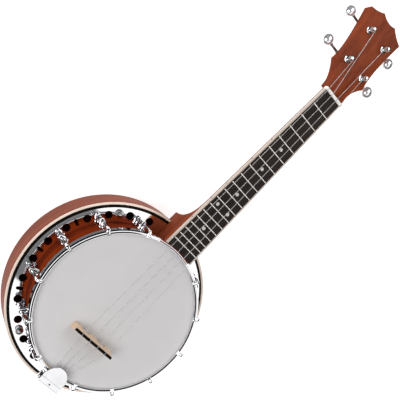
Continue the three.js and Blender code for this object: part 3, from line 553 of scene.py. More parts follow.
class Finish:
    """A node material under construction, with its pattern on Object coordinates"""

    def __init__(self, name, **sockets):
        self.material = bpy.data.materials.new(name)
        self.material.use_nodes = True
        self.tree = self.material.node_tree
        self.shader = self.tree.nodes["Principled BSDF"]
        for socket, value in sockets.items():
            words = socket.replace("_", " ").title().replace("Ior", "IOR")
            self.shader.inputs[words].default_value = value

    def node(self, kind, vector=None, **sockets):
        """Adds a node with its vector or value linked and its other sockets set"""
        node = self.tree.nodes.new(f"ShaderNode{kind}")
        if vector:
            self.tree.links.new(vector, node.inputs[0])
        for socket, value in sockets.items():
            node.inputs[socket.replace("_", " ").title()].default_value = value
        return node

    def coordinates(self, stretch=(1, 1, 1)):
        source = self.node("TexCoord").outputs["Object"]
        return self.node("Mapping", source, scale=stretch).outputs["Vector"]

    def noise(self, vector, scale, detail=4.0, roughness=0.5, distortion=0.0):
        return self.node("TexNoise", vector, scale=scale, detail=detail, roughness=roughness,
                         distortion=distortion).outputs["Fac"]

    def stretch(self, value, start, end, least=0.0, most=1.0):
        return self.node("MapRange", value, from_min=start, from_max=end, to_min=least,
                         to_max=most).outputs["Result"]

    def mix(self, factor, first, second, blend="MIX"):
        mix = self.node("Mix")
        mix.data_type = "RGBA"
        mix.blend_type = blend
        for socket, value in ((0, factor), (6, first), (7, second)):
            if hasattr(value, "is_output"):
                self.tree.links.new(value, mix.inputs[socket])
            else:
                mix.inputs[socket].default_value = (*value, 1.0) if socket else value
        return mix.outputs[2]

    def feed(self, value, socket):
        self.tree.links.new(value, self.shader.inputs[socket])

    def roughen(self, value, smoothest, roughest):
        self.feed(self.stretch(value, 0.3, 0.7, smoothest, roughest), "Roughness")

    def bump(self, height, distance, strength):
        bump = self.node("Bump", distance=distance, strength=strength)
        self.tree.links.new(height, bump.inputs["Height"])
        self.feed(bump.outputs["Normal"], "Normal")


def wood(name, light, dark, along, pore, gloss, coat, figure, sheen):
    """Stained wood: soft bands and fine pores that run along one or two axes"""
    made = Finish(name, coat_weight=coat, coat_roughness=0.06, specular_ior_level=sheen)
    grain = made.coordinates([0.06 if letter in along else 1.0 for letter in "XYZ"])
    bands = made.noise(grain, 90.0, 3.0, 0.55, 0.4)
    pores = made.noise(grain, pore, 5.0, 0.7, 0.1)
    clouds = made.noise(made.coordinates(), 22.0, 2.0, 0.5)
    shade = made.mix(made.stretch(bands, 0.36, 0.68), dark, light)
    even = made.mix(figure, light, shade)
    fine = made.mix(made.stretch(pores, 0.56, 0.70, 0.0, 0.62), even, dark)
    made.feed(made.mix(made.stretch(clouds, 0.3, 0.75, 0.0, 0.08), fine, light, "SCREEN"), "Base Color")
    made.roughen(pores, gloss, gloss + 0.16)
    made.bump(pores, 0.04 * MM, 0.35)
    return made.material


def plain(name, tone, other, scale, smoothest, roughest, bump=0.0, **sockets):
    """A plain finish with a faint mottle in its colour and gloss"""
    made = Finish(name, **sockets)
    mottle = made.noise(made.coordinates(), scale, 4.0, 0.6)
    made.feed(made.mix(made.stretch(mottle, 0.35, 0.7), tone, other), "Base Color")
    made.roughen(mottle, smoothest, roughest)
    if bump:
        made.bump(mottle, bump, 0.4)
    return made.material


def toned(tone, factor):
    """A colour made darker or lighter"""
    return tuple(part * factor for part in tone)


# Colour, grain colour and its factor, axes of the grain, pore scale, gloss, coat, figure and sheen
WOODS = {
    "mahogany": ("mahogany", "mahogany_dark", 1.0, "X", 900.0, 0.36, 0.06, 0.55, 0.0),
    "mahogany side": ("mahogany", "mahogany_dark", 1.0, "XY", 900.0, 0.42, 0.2, 0.55, 0.0),
    "shell wood": ("shell", "shell_dark", 1.0, "XY", 500.0, 0.2, 0.10, 0.9, 0.0),
    "maple": ("maple", "maple", 0.7, "Y", 800.0, 0.4, 0.0, 0.3, 0.25),
    "blackwood": ("blackwood", "blackwood_light", 1.0, "X", 1400.0, 0.42, 0.0, 0.3, 0.15),
    "ebony": ("blackwood", "blackwood", 0.5, "Y", 900.0, 0.5, 0.0, 0.3, 0.02),
}
SHELLAC = {"coat_weight": 0.4, "coat_roughness": 0.08}
METAL = {"metallic": 1.0}
# Colour with the factors of its two tones, mottle scale, least and most roughness, bump and sockets
PLAIN_FINISHES = {
    "cream binding": ("cream", 1.0, 0.92, 60.0, 0.22, 0.34, 0.0, SHELLAC),
    # The board's strips use the resonator's cream darkened to 0.62: painted shade on the same binding
    "cream strip": ("cream", 0.62, 0.57, 60.0, 0.22, 0.34, 0.0, SHELLAC),
    "black line": ("line", 1.0, 2.0, 80.0, 0.16, 0.26, 0.0, {"specular_ior_level": 0.05}),
    "coated skin": ("skin", 1.0, 0.975, 45.0, 0.42, 0.5, 0.012 * MM, {}),
    "nut white": ("nut", 1.0, 0.94, 90.0, 0.3, 0.45, 0.01 * MM, {}),
    "nylon": ("nylon", 1.0, 0.93, 200.0, 0.2, 0.32, 0.0, {"transmission_weight": 0.5}),
    "chrome": ("chrome", 1.0, 0.96, 50.0, 0.025, 0.055, 0.0, METAL),
    "satin chrome": ("chrome", 0.88, 0.8, 70.0, 0.12, 0.2, 0.0, METAL),
    "oiled steel": ("chrome", 0.34, 0.24, 70.0, 0.18, 0.3, 0.0, METAL),
    # Chrome darkened to half for the thumbscrews: painted dark reflection on the same plated metal
    "shaded chrome": ("chrome", 0.5, 0.4, 70.0, 0.08, 0.16, 0.0, METAL),
    # Chrome brightened and made partly diffuse so the buttons read pale: painted reflection on plated buttons
    "bright button": ("chrome", 1.06, 1.02, 50.0, 0.05, 0.09, 0.0, {"metallic": 0.72}),
    "pearl": ("pearl", 1.0, 1.7, 700.0, 0.18, 0.26, 0.0, {"coat_weight": 0.6, "coat_roughness": 0.05}),
    "fret wire": ("fret", 1.0, 0.93, 300.0, 0.12, 0.2, 0.0, METAL),
    "side dot": ("line", 1.0, 3.0, 300.0, 0.3, 0.4, 0.0, {}),
}


def made_finish(colours, name):
    """One finish from its row in the tables"""
    if name in WOODS:
        light, dark, factor, *grain = WOODS[name]
        return wood(name, tuple(getattr(colours, light)), toned(getattr(colours, dark), factor), *grain)
    tone, first, second, *surface, sockets = PLAIN_FINISHES[name]
    tone = getattr(colours, tone)
    return plain(name, toned(tone, first), toned(tone, second), *surface, **sockets)


def finish(name):
    """The finish of that name, made with all the others at its first use"""
    if not hasattr(finish, "made"):
        colours = bpy.context.scene.banjo_colours
        finish.made = {known: made_finish(colours, known) for known in (*WOODS, *PLAIN_FINISHES)}
    return finish.made[name]


# Forms that several pieces share

VOLUTE = 9.0 * MM
VOLUTE_SHARE = 0.85
HEEL_POWER = 1.8
HEEL_ROOM = 0.15 * MM
SHOULDER_LEAN = math.radians(14)
SECTION_STEPS = 14
NECK_START_R = RIM_LEDGE_R - 12 * MM
HEADSTOCK_GAP = 1.1 * MM


def hook_turns(hooks):
    return [side * (hooks.first + number * hooks.step) for side in (1, -1)
            for number in range(hooks.per_side)]


def fret_travel(neck, number):
    """Distance from the nut to a fret in equal temperament"""
    return neck.scale_length * (1 - 2 ** (-number / 12))


def board_top():
    return FRET_TOP - bpy.context.scene.banjo_neck.fret_rise


def board_half(neck, x):
    along = (NUT_FRONT - x) / (NUT_FRONT - BOARD_END_R)
    return (neck.nut_width + (neck.end_width - neck.nut_width) * along) / 2


def heel_reach(neck):
    return RESONATOR_R + neck.heel_overhang


def neck_depth(neck, x):
    """Depth of the neck under the board, with its heel and the thinner stretch under the nut"""
    sweep_end = heel_reach(neck) + neck.heel_sweep
    along = clamp((NUT_FRONT - x) / (NUT_FRONT - sweep_end))
    slim = neck.depth_nut + (neck.depth_body - neck.depth_nut) * along
    past = (x - NUT_FRONT) / (NUT_BACK + HEADSTOCK_GAP + VOLUTE - NUT_FRONT)
    if past > 0:
        return slim * (1 - (1 - VOLUTE_SHARE) * past)
    into = clamp((sweep_end - x) / neck.heel_sweep)
    return slim + (BOARD_FOOT - HEEL_FOOT - slim) * (1 - math.sqrt(1 - into * into))


def neck_section(neck, x, room):
    """One cross-section of the neck, whose sides lean in from the board"""
    half = board_half(neck, x) + neck.binding + room
    depth = neck_depth(neck, x - room) + 2 * room
    half_sweep = neck.heel_sweep / 2
    heel = clamp((heel_reach(neck) + half_sweep + room - x) / half_sweep)
    side = []
    for turn in sweep(TURN / 4 - SHOULDER_LEAN, SECTION_STEPS):
        turn += SHOULDER_LEAN
        down = (math.sin(turn) - math.sin(SHOULDER_LEAN)) / (1 - math.sin(SHOULDER_LEAN))
        rounded = math.cos(turn) / math.cos(SHOULDER_LEAN)
        width = rounded + (1 - neck.heel_taper * down ** HEEL_POWER - rounded) * heel
        side.append((half * width, BOARD_FOOT + room - depth * down))
    if abs(side[-1][0]) < WELD:
        side[-1] = (WELD * 2, side[-1][1])
    return [(x, y, z) for y, z in side] + [(x, -y, z) for y, z in side[::-1]]


def neck_blank(name, neck, room=0.0, stations=56):
    """The neck from inside the rim to the root of the headstock"""
    start = heel_reach(neck) + room
    reach = NUT_BACK + HEADSTOCK_GAP + VOLUTE - start
    places = [NECK_START_R] + [start + reach * part ** 2 for part in sweep(1, stations)]
    return skinned(name, [neck_section(neck, x, room) for x in places])


def notched_for_heel(piece, neck):
    """Opens a ring of the pot for the heel"""
    return combined(piece, [neck_blank("notch", neck, HEEL_ROOM, 24)])


def headstock_frame(neck):
    """The headstock's own axes: along it, across it and out of its face"""
    return (Matrix.Translation((NUT_BACK + HEADSTOCK_GAP, 0, HEADSTOCK_FACE))
            @ Matrix.Rotation(neck.headstock_angle, 4, "Y"))


def post_place(neck, number):
    """A post's place on the headstock's own axes"""
    return headstock_frame(neck).inverted() @ joint_place(f"post_{number}_turn")


# Turned pieces of the pot

BACK_STEPS = 12
BINDING_EDGE = 0.5 * MM
LUG_HALF = 6.5 * MM
LUG_MARGIN = 3.7 * MM
LUG_DEPTH = 11 * MM
ROD_BORE = 3.3 * MM
RIM_EDGE = 2 * MM
FILM_EDGE = 0.9 * MM
COLLAR = 1.4 * MM
DISH = 0.045


class BANJO_OT_resonator(bpy.types.Operator):
    """Add the wooden resonator with its black line and cream binding"""

    bl_idname = "banjo.resonator"
    bl_label = "Add Resonator"

    def execute(self, context):
        pot = context.scene.banjo_pot
        flat = RESONATOR_R - pot.back_edge
        inner = RESONATOR_R - pot.wall
        outside = [(flat + pot.back_edge * math.sin(turn), BACK_TOP * (1 - math.cos(turn)))
                   for turn in sweep(TURN / 4, BACK_STEPS)]
        inside = [(flat + (inner - flat) * math.cos(turn),
                   BACK_TOP - (BACK_TOP - pot.back_plate) * math.sin(turn))
                  for turn in sweep(TURN / 4, BACK_STEPS)]
        back = turned("resonator_bowl", [(0, 0), *outside, *inside, (0, pot.back_plate)])
        dressed(smooth(back), "mahogany", "mahogany", "resonator_back")

        rebate = PURFLING_R + HEEL_ROOM
        binding_foot = BINDING_TOP - pot.binding
        side = turned("resonator_wall", [
            (inner, BACK_TOP), (RESONATOR_R, BACK_TOP), (RESONATOR_R, binding_foot),
            (rebate, binding_foot), (rebate, PURFLING_FOOT), (inner, PURFLING_FOOT),
        ])
        lug_foot = FLANGE_FOOT - CLEAR - LUG_DEPTH
        lugs = []
        for number in range(1, 5):
            spot = joint_place(f"thumbscrew_{number}_turn")
            lug = box_piece("lug", (math.hypot(spot.x, spot.y) - LUG_MARGIN, -LUG_HALF, lug_foot),
                            (inner + MM, LUG_HALF, PURFLING_FOOT - CLEAR))
            lugs.append(swung(lug, math.atan2(spot.y, spot.x)))
        combined(side, lugs, "UNION")
        line = turned("black_ring", [
            (inner, PURFLING_FOOT), (rebate, PURFLING_FOOT), (rebate, BINDING_TOP), (inner, BINDING_TOP),
        ])
        trim = turned("cream_ring", [
            (rebate, binding_foot), (RESONATOR_R, binding_foot),
            *corner(BINDING_EDGE, RESONATOR_R, BINDING_TOP, 4), (rebate, BINDING_TOP),
        ])
        for piece, look, slot, node in (
            (side, "mahogany side", "mahogany", "resonator_side"),
            (line, "black line", "black_line", "resonator_purfling"),
            (trim, "cream binding", "cream_binding", "resonator_binding"),
        ):
            smooth(notched_for_heel(piece, context.scene.banjo_neck))
            dressed(piece, look, slot, node)
        return {"FINISHED"}


class BANJO_OT_flange(bpy.types.Operator):
    """Add the pierced flange between the rim and the resonator"""

    bl_idname = "banjo.flange"
    bl_label = "Add Flange"

    def execute(self, context):
        pot = context.scene.banjo_pot
        hooks = context.scene.banjo_hooks
        inner = RIM_LEDGE_R - pot.ledge + CLEAR
        ring = turned("flange_plate", [
            (inner, FLANGE_FOOT), (FLANGE_R, FLANGE_FOOT), (FLANGE_R, FLANGE_TOP), (inner, FLANGE_TOP),
        ])
        through = (FLANGE_FOOT - MM, FLANGE_TOP + MM)
        tools = [slab("hole", circle(pot.hole / 2, 40, polar(pot.hole_circle, turn + shift)), *through)
                 for turn in hook_turns(hooks) for shift in (-pot.hole_spread, pot.hole_spread)]
        tools += [swung(slab("slot", self.slot_outline(pot), *through),
                        side * (hooks.first + (number + 0.5) * hooks.step))
                  for side in (1, -1) for number in range(1, hooks.per_side - 2)]
        combined(ring, tools)
        notched_for_heel(ring, context.scene.banjo_neck)
        dressed(softened(ring, 0.25 * MM), "chrome", "chrome", "flange")
        return {"FINISHED"}

    def slot_outline(self, pot):
        """A slot with round ends that is slimmer at its middle"""
        end = pot.slot_end / 2
        far = pot.slot_length / 2 - end
        reach = TURN / 2 - math.acos(pot.slot_waist / pot.slot_end) - TURN / 8
        outer = arc(end, -reach, reach, 20, (pot.hole_circle + far, 0))
        return outer + [(2 * pot.hole_circle - x, -y) for x, y in outer]


class BANJO_OT_rim(bpy.types.Operator):
    """Add the wooden rim under the head"""

    bl_idname = "banjo.rim"
    bl_label = "Add Rim"

    def execute(self, context):
        pot = context.scene.banjo_pot
        outer = RIM_LEDGE_R - pot.ledge
        inner = outer - pot.rim_wall
        rim = turned("rim_shell", [
            (inner, RIM_FOOT), (RIM_LEDGE_R, RIM_FOOT), (RIM_LEDGE_R, FLANGE_FOOT), (outer, FLANGE_FOOT),
            *corner(RIM_EDGE, outer, RIM_TOP, 5), (inner, RIM_TOP),
        ])
        end = RIM_LEDGE_R + MM
        combined(rim, [rod("bore", (-end, 0, ROD_LEVEL), (end, 0, ROD_LEVEL), ROD_BORE)])
        dressed(smooth(rim), "shell wood", "shell_wood", "rim")
        return {"FINISHED"}


class BANJO_OT_head(bpy.types.Operator):
    """Add the coated head with its collar"""

    bl_idname = "banjo.head"
    bl_label = "Add Head"

    def execute(self, context):
        film = turned("head_film", [
            (0, HEAD_FOOT), (HEAD_R - FILM_EDGE, HEAD_FOOT),
            (HEAD_R - FILM_EDGE / 2, HEAD_FOOT - FILM_EDGE / 2),
            *corner(FILM_EDGE, HEAD_R, HEAD_TOP, 6), (0, HEAD_TOP),
        ])
        dressed(smooth(film), "coated skin", "coated_skin", "head")
        top = HEAD_FOOT - CLEAR
        ring = turned("head_ring", [
            (HEAD_R - COLLAR, top), (HEAD_R - COLLAR, COLLAR_FOOT), (HEAD_R, COLLAR_FOOT), (HEAD_R, top),
        ])
        dressed(softened(ring, 0.3 * MM), "chrome", "chrome", "head_collar")
        return {"FINISHED"}


class BANJO_OT_hoop(bpy.types.Operator):
    """Add the notched tension hoop"""

    bl_idname = "banjo.hoop"
    bl_label = "Add Tension Hoop"

    def execute(self, context):
        pot = context.scene.banjo_pot
        hooks = context.scene.banjo_hooks
        inner = HOOP_R - pot.hoop_width
        skirt = HEAD_R + CLEAR
        lip = HEAD_TOP + CLEAR
        hoop = turned("hoop_ring", [
            (inner, lip), (skirt, lip),
            *near(skirt, HOOP_FOOT, (0, 0.2), (0.2, 0)),
            *near(HOOP_R, HOOP_FOOT, (-0.3, 0), (0, 0.3)),
            *near(HOOP_R, HOOP_TOP - pot.crown, (0, -2.0), (-1.2, -0.5), (-1.4, 0), (-2.1, -DISH)),
            *near(HOOP_R, HOOP_TOP, (-3.05, -0.3), (-3.3, 0)),
            *near(inner, HOOP_TOP, (1.12, -DISH)),
            (inner, HOOP_TOP - pot.inner_slope),
        ], HOOP_STEPS)
        half = hooks.claw_width / 2 + CLEAR
        combined(hoop, [
            swung(box_piece("notch", (inner - MM, -half, HOOP_TOP - hooks.notch_floor),
                            (HOOP_R + MM, half, HOOP_TOP + MM)), turn + hooks.shift)
            for turn in hook_turns(hooks)])
        dressed(smooth(hoop, 18), "chrome", "chrome", "tension_hoop")
        return {"FINISHED"}


# Fasteners round the pot

CLAW_BEND = 2.4 * MM
CLAW_TIP = 3.5 * MM
OVAL_SIDES = 16
OVAL_POWER = 0.6
SHOE_FLARE = ((0, 0), (1, 0), (1, 0.10), (0.93, 0.16))
SHOE_WIDE, SHOE_UP = 0.86, 0.17
FLUTES = 28
FLUTE_DEPTH = 0.32 * MM
BODY_SHARES = ((0.9, 0), (0.9, 0.05), (0.94, 0.1), (0.94, 0.42), (0.86, 0.5), (0.5, 0.54))
BALL_SHARE = 0.34
BALL_NECK = math.asin(0.62)


def oval_ring(x, z, turn, half_width, half_thickness):
    """An oval section: wide across Y, thin square to a path that leans by the turn"""
    normal = Vector((-math.cos(turn), 0, -math.sin(turn)))
    ring = []
    for step in range(OVAL_SIDES):
        side, out = [math.copysign(abs(part) ** OVAL_POWER, part)
                     for part in polar(1, TURN * step / OVAL_SIDES)]
        ring.append(tuple(Vector((x, side * half_width, z)) + normal * (out * half_thickness)))
    return ring


class BANJO_OT_hooks(bpy.types.Operator):
    """Add the bracket hooks with their shoes and nuts"""

    bl_idname = "banjo.hooks"
    bl_label = "Add Bracket Hooks"

    def execute(self, context):
        hooks = context.scene.banjo_hooks
        base = self.hook(context.scene.banjo_pot, hooks)
        for number, turn in enumerate(hook_turns(hooks), 1):
            hook = copied(base, f"hook_{number:02d}", Matrix.Rotation(turn + hooks.shift, 4, "Z"))
            dressed(hook, "chrome", "chrome", f"bracket_hook_{number:02d}")
        bpy.data.objects.remove(base)
        return {"FINISHED"}

    def hook(self, pot, hooks):
        """One hook on the X axis: claw and rod, domed shoe, hexagonal nut and its washer"""
        middle = (HOOP_R + hooks.gap, 0)
        foot = HOOK_FOOT + hooks.nut_height + CLEAR
        claw = self.claw(hooks, foot)
        dome = [*SHOE_FLARE, *[(SHOE_WIDE * math.cos(turn), SHOE_UP + (1 - SHOE_UP) * math.sin(turn))
                               for turn in sweep(TURN / 4, 8)]]
        shoe = turned("shoe", [(wide * hooks.shoe_width / 2, up * hooks.shoe_reach) for wide, up in dome], 40)
        rim = RIM_LEDGE_R - pot.ledge + HAIR
        tall = Matrix.Diagonal((hooks.shoe_height / hooks.shoe_width, 1, 1, 1))
        place(shoe, Matrix.Translation((rim, 0, foot + hooks.shoe_height / 2))
              @ Matrix.Rotation(TURN / 4, 4, "Y") @ tall)
        half = hooks.nut_width / 2
        nut = slab("nut", circle(half, 6, middle), foot - hooks.nut_height, foot + 0.3 * MM)
        softened(nut, 0.35 * MM)
        washer = slab("washer", circle(half, 24, middle), foot - 0.2 * MM, foot + MM)
        for piece in (claw, shoe, washer):
            smooth(piece)
        return joined("hook_base", [claw, shoe, nut, washer])

    def claw(self, hooks, shoe_foot):
        """The rod and its flat end, bent inwards over the hoop"""
        x = HOOP_R + hooks.gap
        level = HOOP_TOP - hooks.notch_floor + CLEAR + hooks.claw / 2
        path = [(x, HOOK_FOOT, 0, 0), (x, HOOK_FOOT + 0.4 * MM, 0, 0), (x, shoe_foot, 0, 0),
                (x, level - 10 * MM, 0, 0), (x, level - 6 * MM, 0, 0.5), (x, level - CLAW_BEND, 0, 0.85)]
        path += [(x - CLAW_BEND + CLAW_BEND * math.cos(turn),
                  level - CLAW_BEND + CLAW_BEND * math.sin(turn), turn, 1) for turn in sweep(TURN / 4, 6)[1:]]
        tip = HOOP_R - CLAW_TIP
        path += [(tip + 0.6 * MM, level, TURN / 4, 1), (tip + 0.1 * MM, level - 0.1 * MM, TURN / 4, 0.8)]
        half = hooks.rod / 2
        return skinned("claw", [
            oval_ring(x, z, turn, half + (hooks.claw_width / 2 - half) * flat,
                      half + (hooks.claw / 2 - half) * flat)
            for x, z, turn, flat in path])


class BANJO_OT_thumbscrews(bpy.types.Operator):
    """Add the knurled thumbscrews that hold the resonator"""

    bl_idname = "banjo.thumbscrews"
    bl_label = "Add Thumbscrews"

    def execute(self, context):
        base = self.screw(context.scene.banjo_hooks)
        for number in range(1, 5):
            spot = joint_place(f"thumbscrew_{number}_turn")
            screw = copied(base, f"knurled_screw_{number}", Matrix.Translation((spot.x, spot.y, 0)))
            # The thumbscrews take the darkened chrome, a painted dark reflection
            dressed(screw, "shaded chrome", "chrome", f"thumbscrew_{number}", body=f"screw_{number}")
        bpy.data.objects.remove(base)
        return {"FINISHED"}

    def screw(self, hooks):
        """One thumbscrew on the upright axis: fluted drum, ball and shank"""
        seat = FLANGE_TOP + HAIR
        half = hooks.thumb_width / 2
        rise = hooks.thumb_height
        shank = hooks.thumb_shank / 2
        outline = [polar(half - FLUTE_DEPTH * (step % 4 > 1), TURN * step / (FLUTES * 4))
                   for step in range(FLUTES * 4)]
        drum = softened(slab("drum", outline, seat + 0.05 * rise, seat + 0.46 * rise), 0.12 * MM, 1)
        ball = BALL_SHARE * rise
        turns = [BALL_NECK + turn for turn in sweep(TURN / 2 - BALL_NECK, 12)[:-1]]
        body = turned("body", [
            (0, SCREW_FOOT), *near(shank, SCREW_FOOT, (-0.3, 0), (0, 0.3)), (shank, seat),
            *[(half * wide, seat + up * rise) for wide, up in BODY_SHARES],
            *[(ball * math.sin(TURN / 2 - turn), seat + rise - ball + ball * math.cos(TURN / 2 - turn))
              for turn in turns],
            (0, seat + rise),
        ], FINE_STEPS)
        return joined("screw_base", [smooth(body), drum])


# Neck, headstock and fretboard

THROAT_SHARES = ((0.0, 0.464), (0.062, 0.464), (0.155, 0.479), (0.275, 0.836))
# Bend and end of the waist, the crown and its dip, each with its number of steps
EDGE_SHARES = (
    ((0.426, 0.664), (0.92, 1.0), 14),
    ((0.942, 0.636), (1.0, 0.364), 8),
    ((0.969, 0.167), (0.974, 0.0), 8),
)
BORE_REACH = 20 * MM
WIRE_FOOT = 0.2 * MM
DOT_FRETS = (5, 7, 10, 12, 15)
DOT_DOUBLE_FRET = 12
DOT_SPREAD = 9.3 * MM
DOT_DEPTH = 0.5 * MM
DOT_RISE = 0.06 * MM
SIDE_DOT = 1.0 * MM
FRET_SLOPE = 0.7
FRET_REACH = 0.2
NUT_ROUND = 1.6 * MM
NUT_SLOT_ROOM = 0.08 * MM
NUT_SLOT_RISE = 1.2 * MM
# Places of a string's bends over the bridge and the nut in its route
BRIDGE_BEND, NUT_BEND = 3, 4


def headstock_outline(neck):
    """Throat, lower horn, waist, upper horn, crown and its dip, then the same mirrored"""
    def scaled(pair):
        return (pair[0] * neck.headstock, pair[1] * neck.headstock_half)

    root, throat, throat_bend, horn = [scaled(pair) for pair in THROAT_SHARES]
    half = [root, throat, *bend(throat, throat_bend, horn, 10)]
    for control, end, steps in EDGE_SHARES:
        half += bend(horn, scaled(control), scaled(end), steps)
        horn = scaled(end)
    return half + [(along, -across) for along, across in half[-2::-1]]


class BANJO_OT_neck(bpy.types.Operator):
    """Add the neck with its heel and headstock"""

    bl_idname = "banjo.neck"
    bl_label = "Add Neck"

    def execute(self, context):
        neck = context.scene.banjo_neck
        tuner = context.scene.banjo_tuner
        stock = softened(slab("headstock", headstock_outline(neck), -neck.headstock_plate, 0), 0.8 * MM, 3)
        place(stock, headstock_frame(neck))
        wood_piece = combined(neck_blank("neck_wood", neck), [stock], "UNION")
        ledge = RIM_LEDGE_R + HAIR
        shell = ledge - context.scene.banjo_pot.ledge
        below, above = RIM_FOOT - 10 * MM, HOOP_TOP + 10 * MM
        skirt = HOOP_FOOT - CLEAR
        cutter = turned("rim_cutter", [
            (0, below), (ledge, below), (ledge, FLANGE_FOOT), (shell, FLANGE_FOOT), (shell, skirt),
            (BOARD_END_R, skirt), (BOARD_END_R, above), (0, above),
        ])
        combined(wood_piece, [cutter])
        lift = headstock_frame(neck).to_3x3() @ Vector((0, 0, BORE_REACH))
        spots = [joint_place(f"post_{number}_turn") for number in range(1, 5)]
        combined(wood_piece, [
            rod("bore", spot - lift, spot + lift, tuner.bushing_shank / 2) for spot in spots])
        dressed(smooth(wood_piece, 40), "mahogany", "mahogany", "neck")
        return {"FINISHED"}


def between_frets(neck, number):
    return NUT_FRONT - (fret_travel(neck, number - 1) + fret_travel(neck, number)) / 2


class BANJO_OT_fretboard(bpy.types.Operator):
    """Add the fretboard with its frets, dots and bindings"""

    bl_idname = "banjo.fretboard"
    bl_label = "Add Fretboard"

    def execute(self, context):
        neck = context.scene.banjo_neck
        top = board_top()
        spread = math.asin(neck.end_width / 2 / BOARD_END_R)
        outline = [(NUT_FRONT, -neck.nut_width / 2), (NUT_FRONT, neck.nut_width / 2),
                   *arc(BOARD_END_R, spread, -spread, 16)]
        dressed(smooth(slab("board", outline, BOARD_FOOT, top)), "blackwood", "blackwood", "fretboard")
        dressed(self.frets(neck, top), "fret wire", "chrome")
        dressed(self.dots(neck, top), "pearl", "nut_white")
        for side, word in ((1, "bass"), (-1, "treble")):
            near_edge, far_edge = [self.edge(neck, side, offset) for offset in (0.0, neck.binding)]
            strip = slab(f"board_strip_{word}", [*near_edge, *far_edge[::-1]], BOARD_FOOT, top)
            # The strips take the cream darkened to 0.62, painted shade on the binding
            dressed(softened(strip, 0.35 * MM, 3), "cream strip", "cream_binding", f"binding_{word}")
        dressed(self.side_dots(neck), "side dot", "black_line")
        return {"FINISHED"}

    def frets(self, neck, top):
        """Fret wires with a round crown and sloped ends"""
        half = neck.fret_width / 2
        profile = [(-half, top - WIRE_FOOT), (-half, top + HAIR)]
        profile += [(-half * math.cos(turn), top + neck.fret_rise * math.sin(turn))
                    for turn in sweep(TURN / 2, 8)[1:-1]]
        profile += [(half, top + HAIR), (half, top - WIRE_FOOT)]
        wires = []
        for number in range(1, neck.frets + 1):
            middle = NUT_FRONT - fret_travel(neck, number)
            reach = board_half(neck, middle) + neck.binding * FRET_REACH
            wires.append(skinned("wire", [
                [(middle + x, end * reach - end * FRET_SLOPE * (z - top), z) for x, z in profile]
                for end in (-1, 1)]))
        return smooth(joined("fret_wires", wires))

    def dots(self, neck, top):
        """Pearl dots set into the board, a hair proud of it"""
        discs = []
        for number in DOT_FRETS:
            for y in (DOT_SPREAD, -DOT_SPREAD) if number == DOT_DOUBLE_FRET else (0.0,):
                outline = circle(neck.dot / 2, 32, (between_frets(neck, number), y))
                discs.append(softened(slab("disc", outline, top - DOT_DEPTH, top + DOT_RISE), 0.04 * MM, 1))
        return joined("pearl_dots", discs)

    def edge(self, neck, side, offset):
        """One long edge of a cream strip, from the nut to the hoop"""
        at_body = neck.end_width / 2 + offset
        return [(NUT_FRONT, side * (neck.nut_width / 2 + offset)),
                (math.sqrt(BOARD_END_R ** 2 - at_body ** 2), side * at_body)]

    def side_dots(self, neck):
        """Small dark dots on the player's edge of the board"""
        dots = []
        level = (BOARD_FOOT + board_top()) / 2
        for number in DOT_FRETS:
            x = between_frets(neck, number)
            y = board_half(neck, x) + neck.binding
            dots.append(rod("dot", (x, y - MM, level), (x, y + 0.03 * MM, level), SIDE_DOT, 20))
        return smooth(joined("side_dots", dots))


class BANJO_OT_nut(bpy.types.Operator):
    """Add the slotted nut"""

    bl_idname = "banjo.nut"
    bl_label = "Add Nut"

    def execute(self, context):
        neck = context.scene.banjo_neck
        half = neck.nut_width / 2 + neck.binding
        thick = context.scene.banjo_strings.nut_length
        profile = [(NUT_FRONT, BOARD_FOOT), (NUT_FRONT + thick, BOARD_FOOT)]
        profile += [(NUT_FRONT + thick * (0.5 + 0.5 * math.cos(turn)),
                     NUT_TOP - NUT_ROUND + NUT_ROUND * math.sin(turn)) for turn in sweep(TURN / 2, 8)]
        nut = bar("nut_bar", profile, -half, half)
        slots = []
        for number, route in enumerate(string_routes(context.scene)):
            before, middle, after = [Vector(point) for point in route[NUT_BEND - 1:NUT_BEND + 2]]
            width = string_radius(number) + NUT_SLOT_ROOM
            points = [middle + (before - middle).normalized() * 4 * MM, middle,
                      middle + (after - middle).normalized() * 4 * MM]
            ring = [point - Vector((0, 0, width * 0.7)) for point in points]
            ring += [point + Vector((0, 0, width + NUT_SLOT_RISE)) for point in reversed(points)]
            slots.append(skinned("slot", [
                [(point.x, point.y + side * width, point.z) for point in ring] for side in (-1, 1)]))
        combined(nut, slots)
        dressed(softened(nut, 0.18 * MM), "nut white", "nut_white", "nut")
        return {"FINISHED"}


# Strings, bridge and tailpiece

STRING_WIDTHS = (0.62 * MM, 0.70 * MM, 0.78 * MM, 0.66 * MM)
WIND_STEPS = 24
WIND_ROOM = 0.8 * MM
LIP_PLATE = 1.2 * MM
LIP_SLOT_ROOM = 0.15 * MM
LIP_SLOT_REACH = 3 * MM
LIP_SLOT_DEPTH = 1.4 * MM
LIP_SLOT_RISE = 5 * MM
KNOT = 2.0 * MM
KNOT_FALL = 0.82
SHELF_FRONT = -(HOOP_R + 2.1 * MM)
TAIL_LEVEL = HOOP_TOP + 0.95 * MM
FALL = 0.5 * MM
WEB = 1.3 * MM
EYE = 1.1 * MM
CHEEK = 1.7 * MM
STRAP_TIP_SHARE = 0.6
STRAP_ROUND_SHARE = 0.92
STRAP_ROUND = 2.5 * MM


def string_radius(number):
    return STRING_WIDTHS[number] / 2


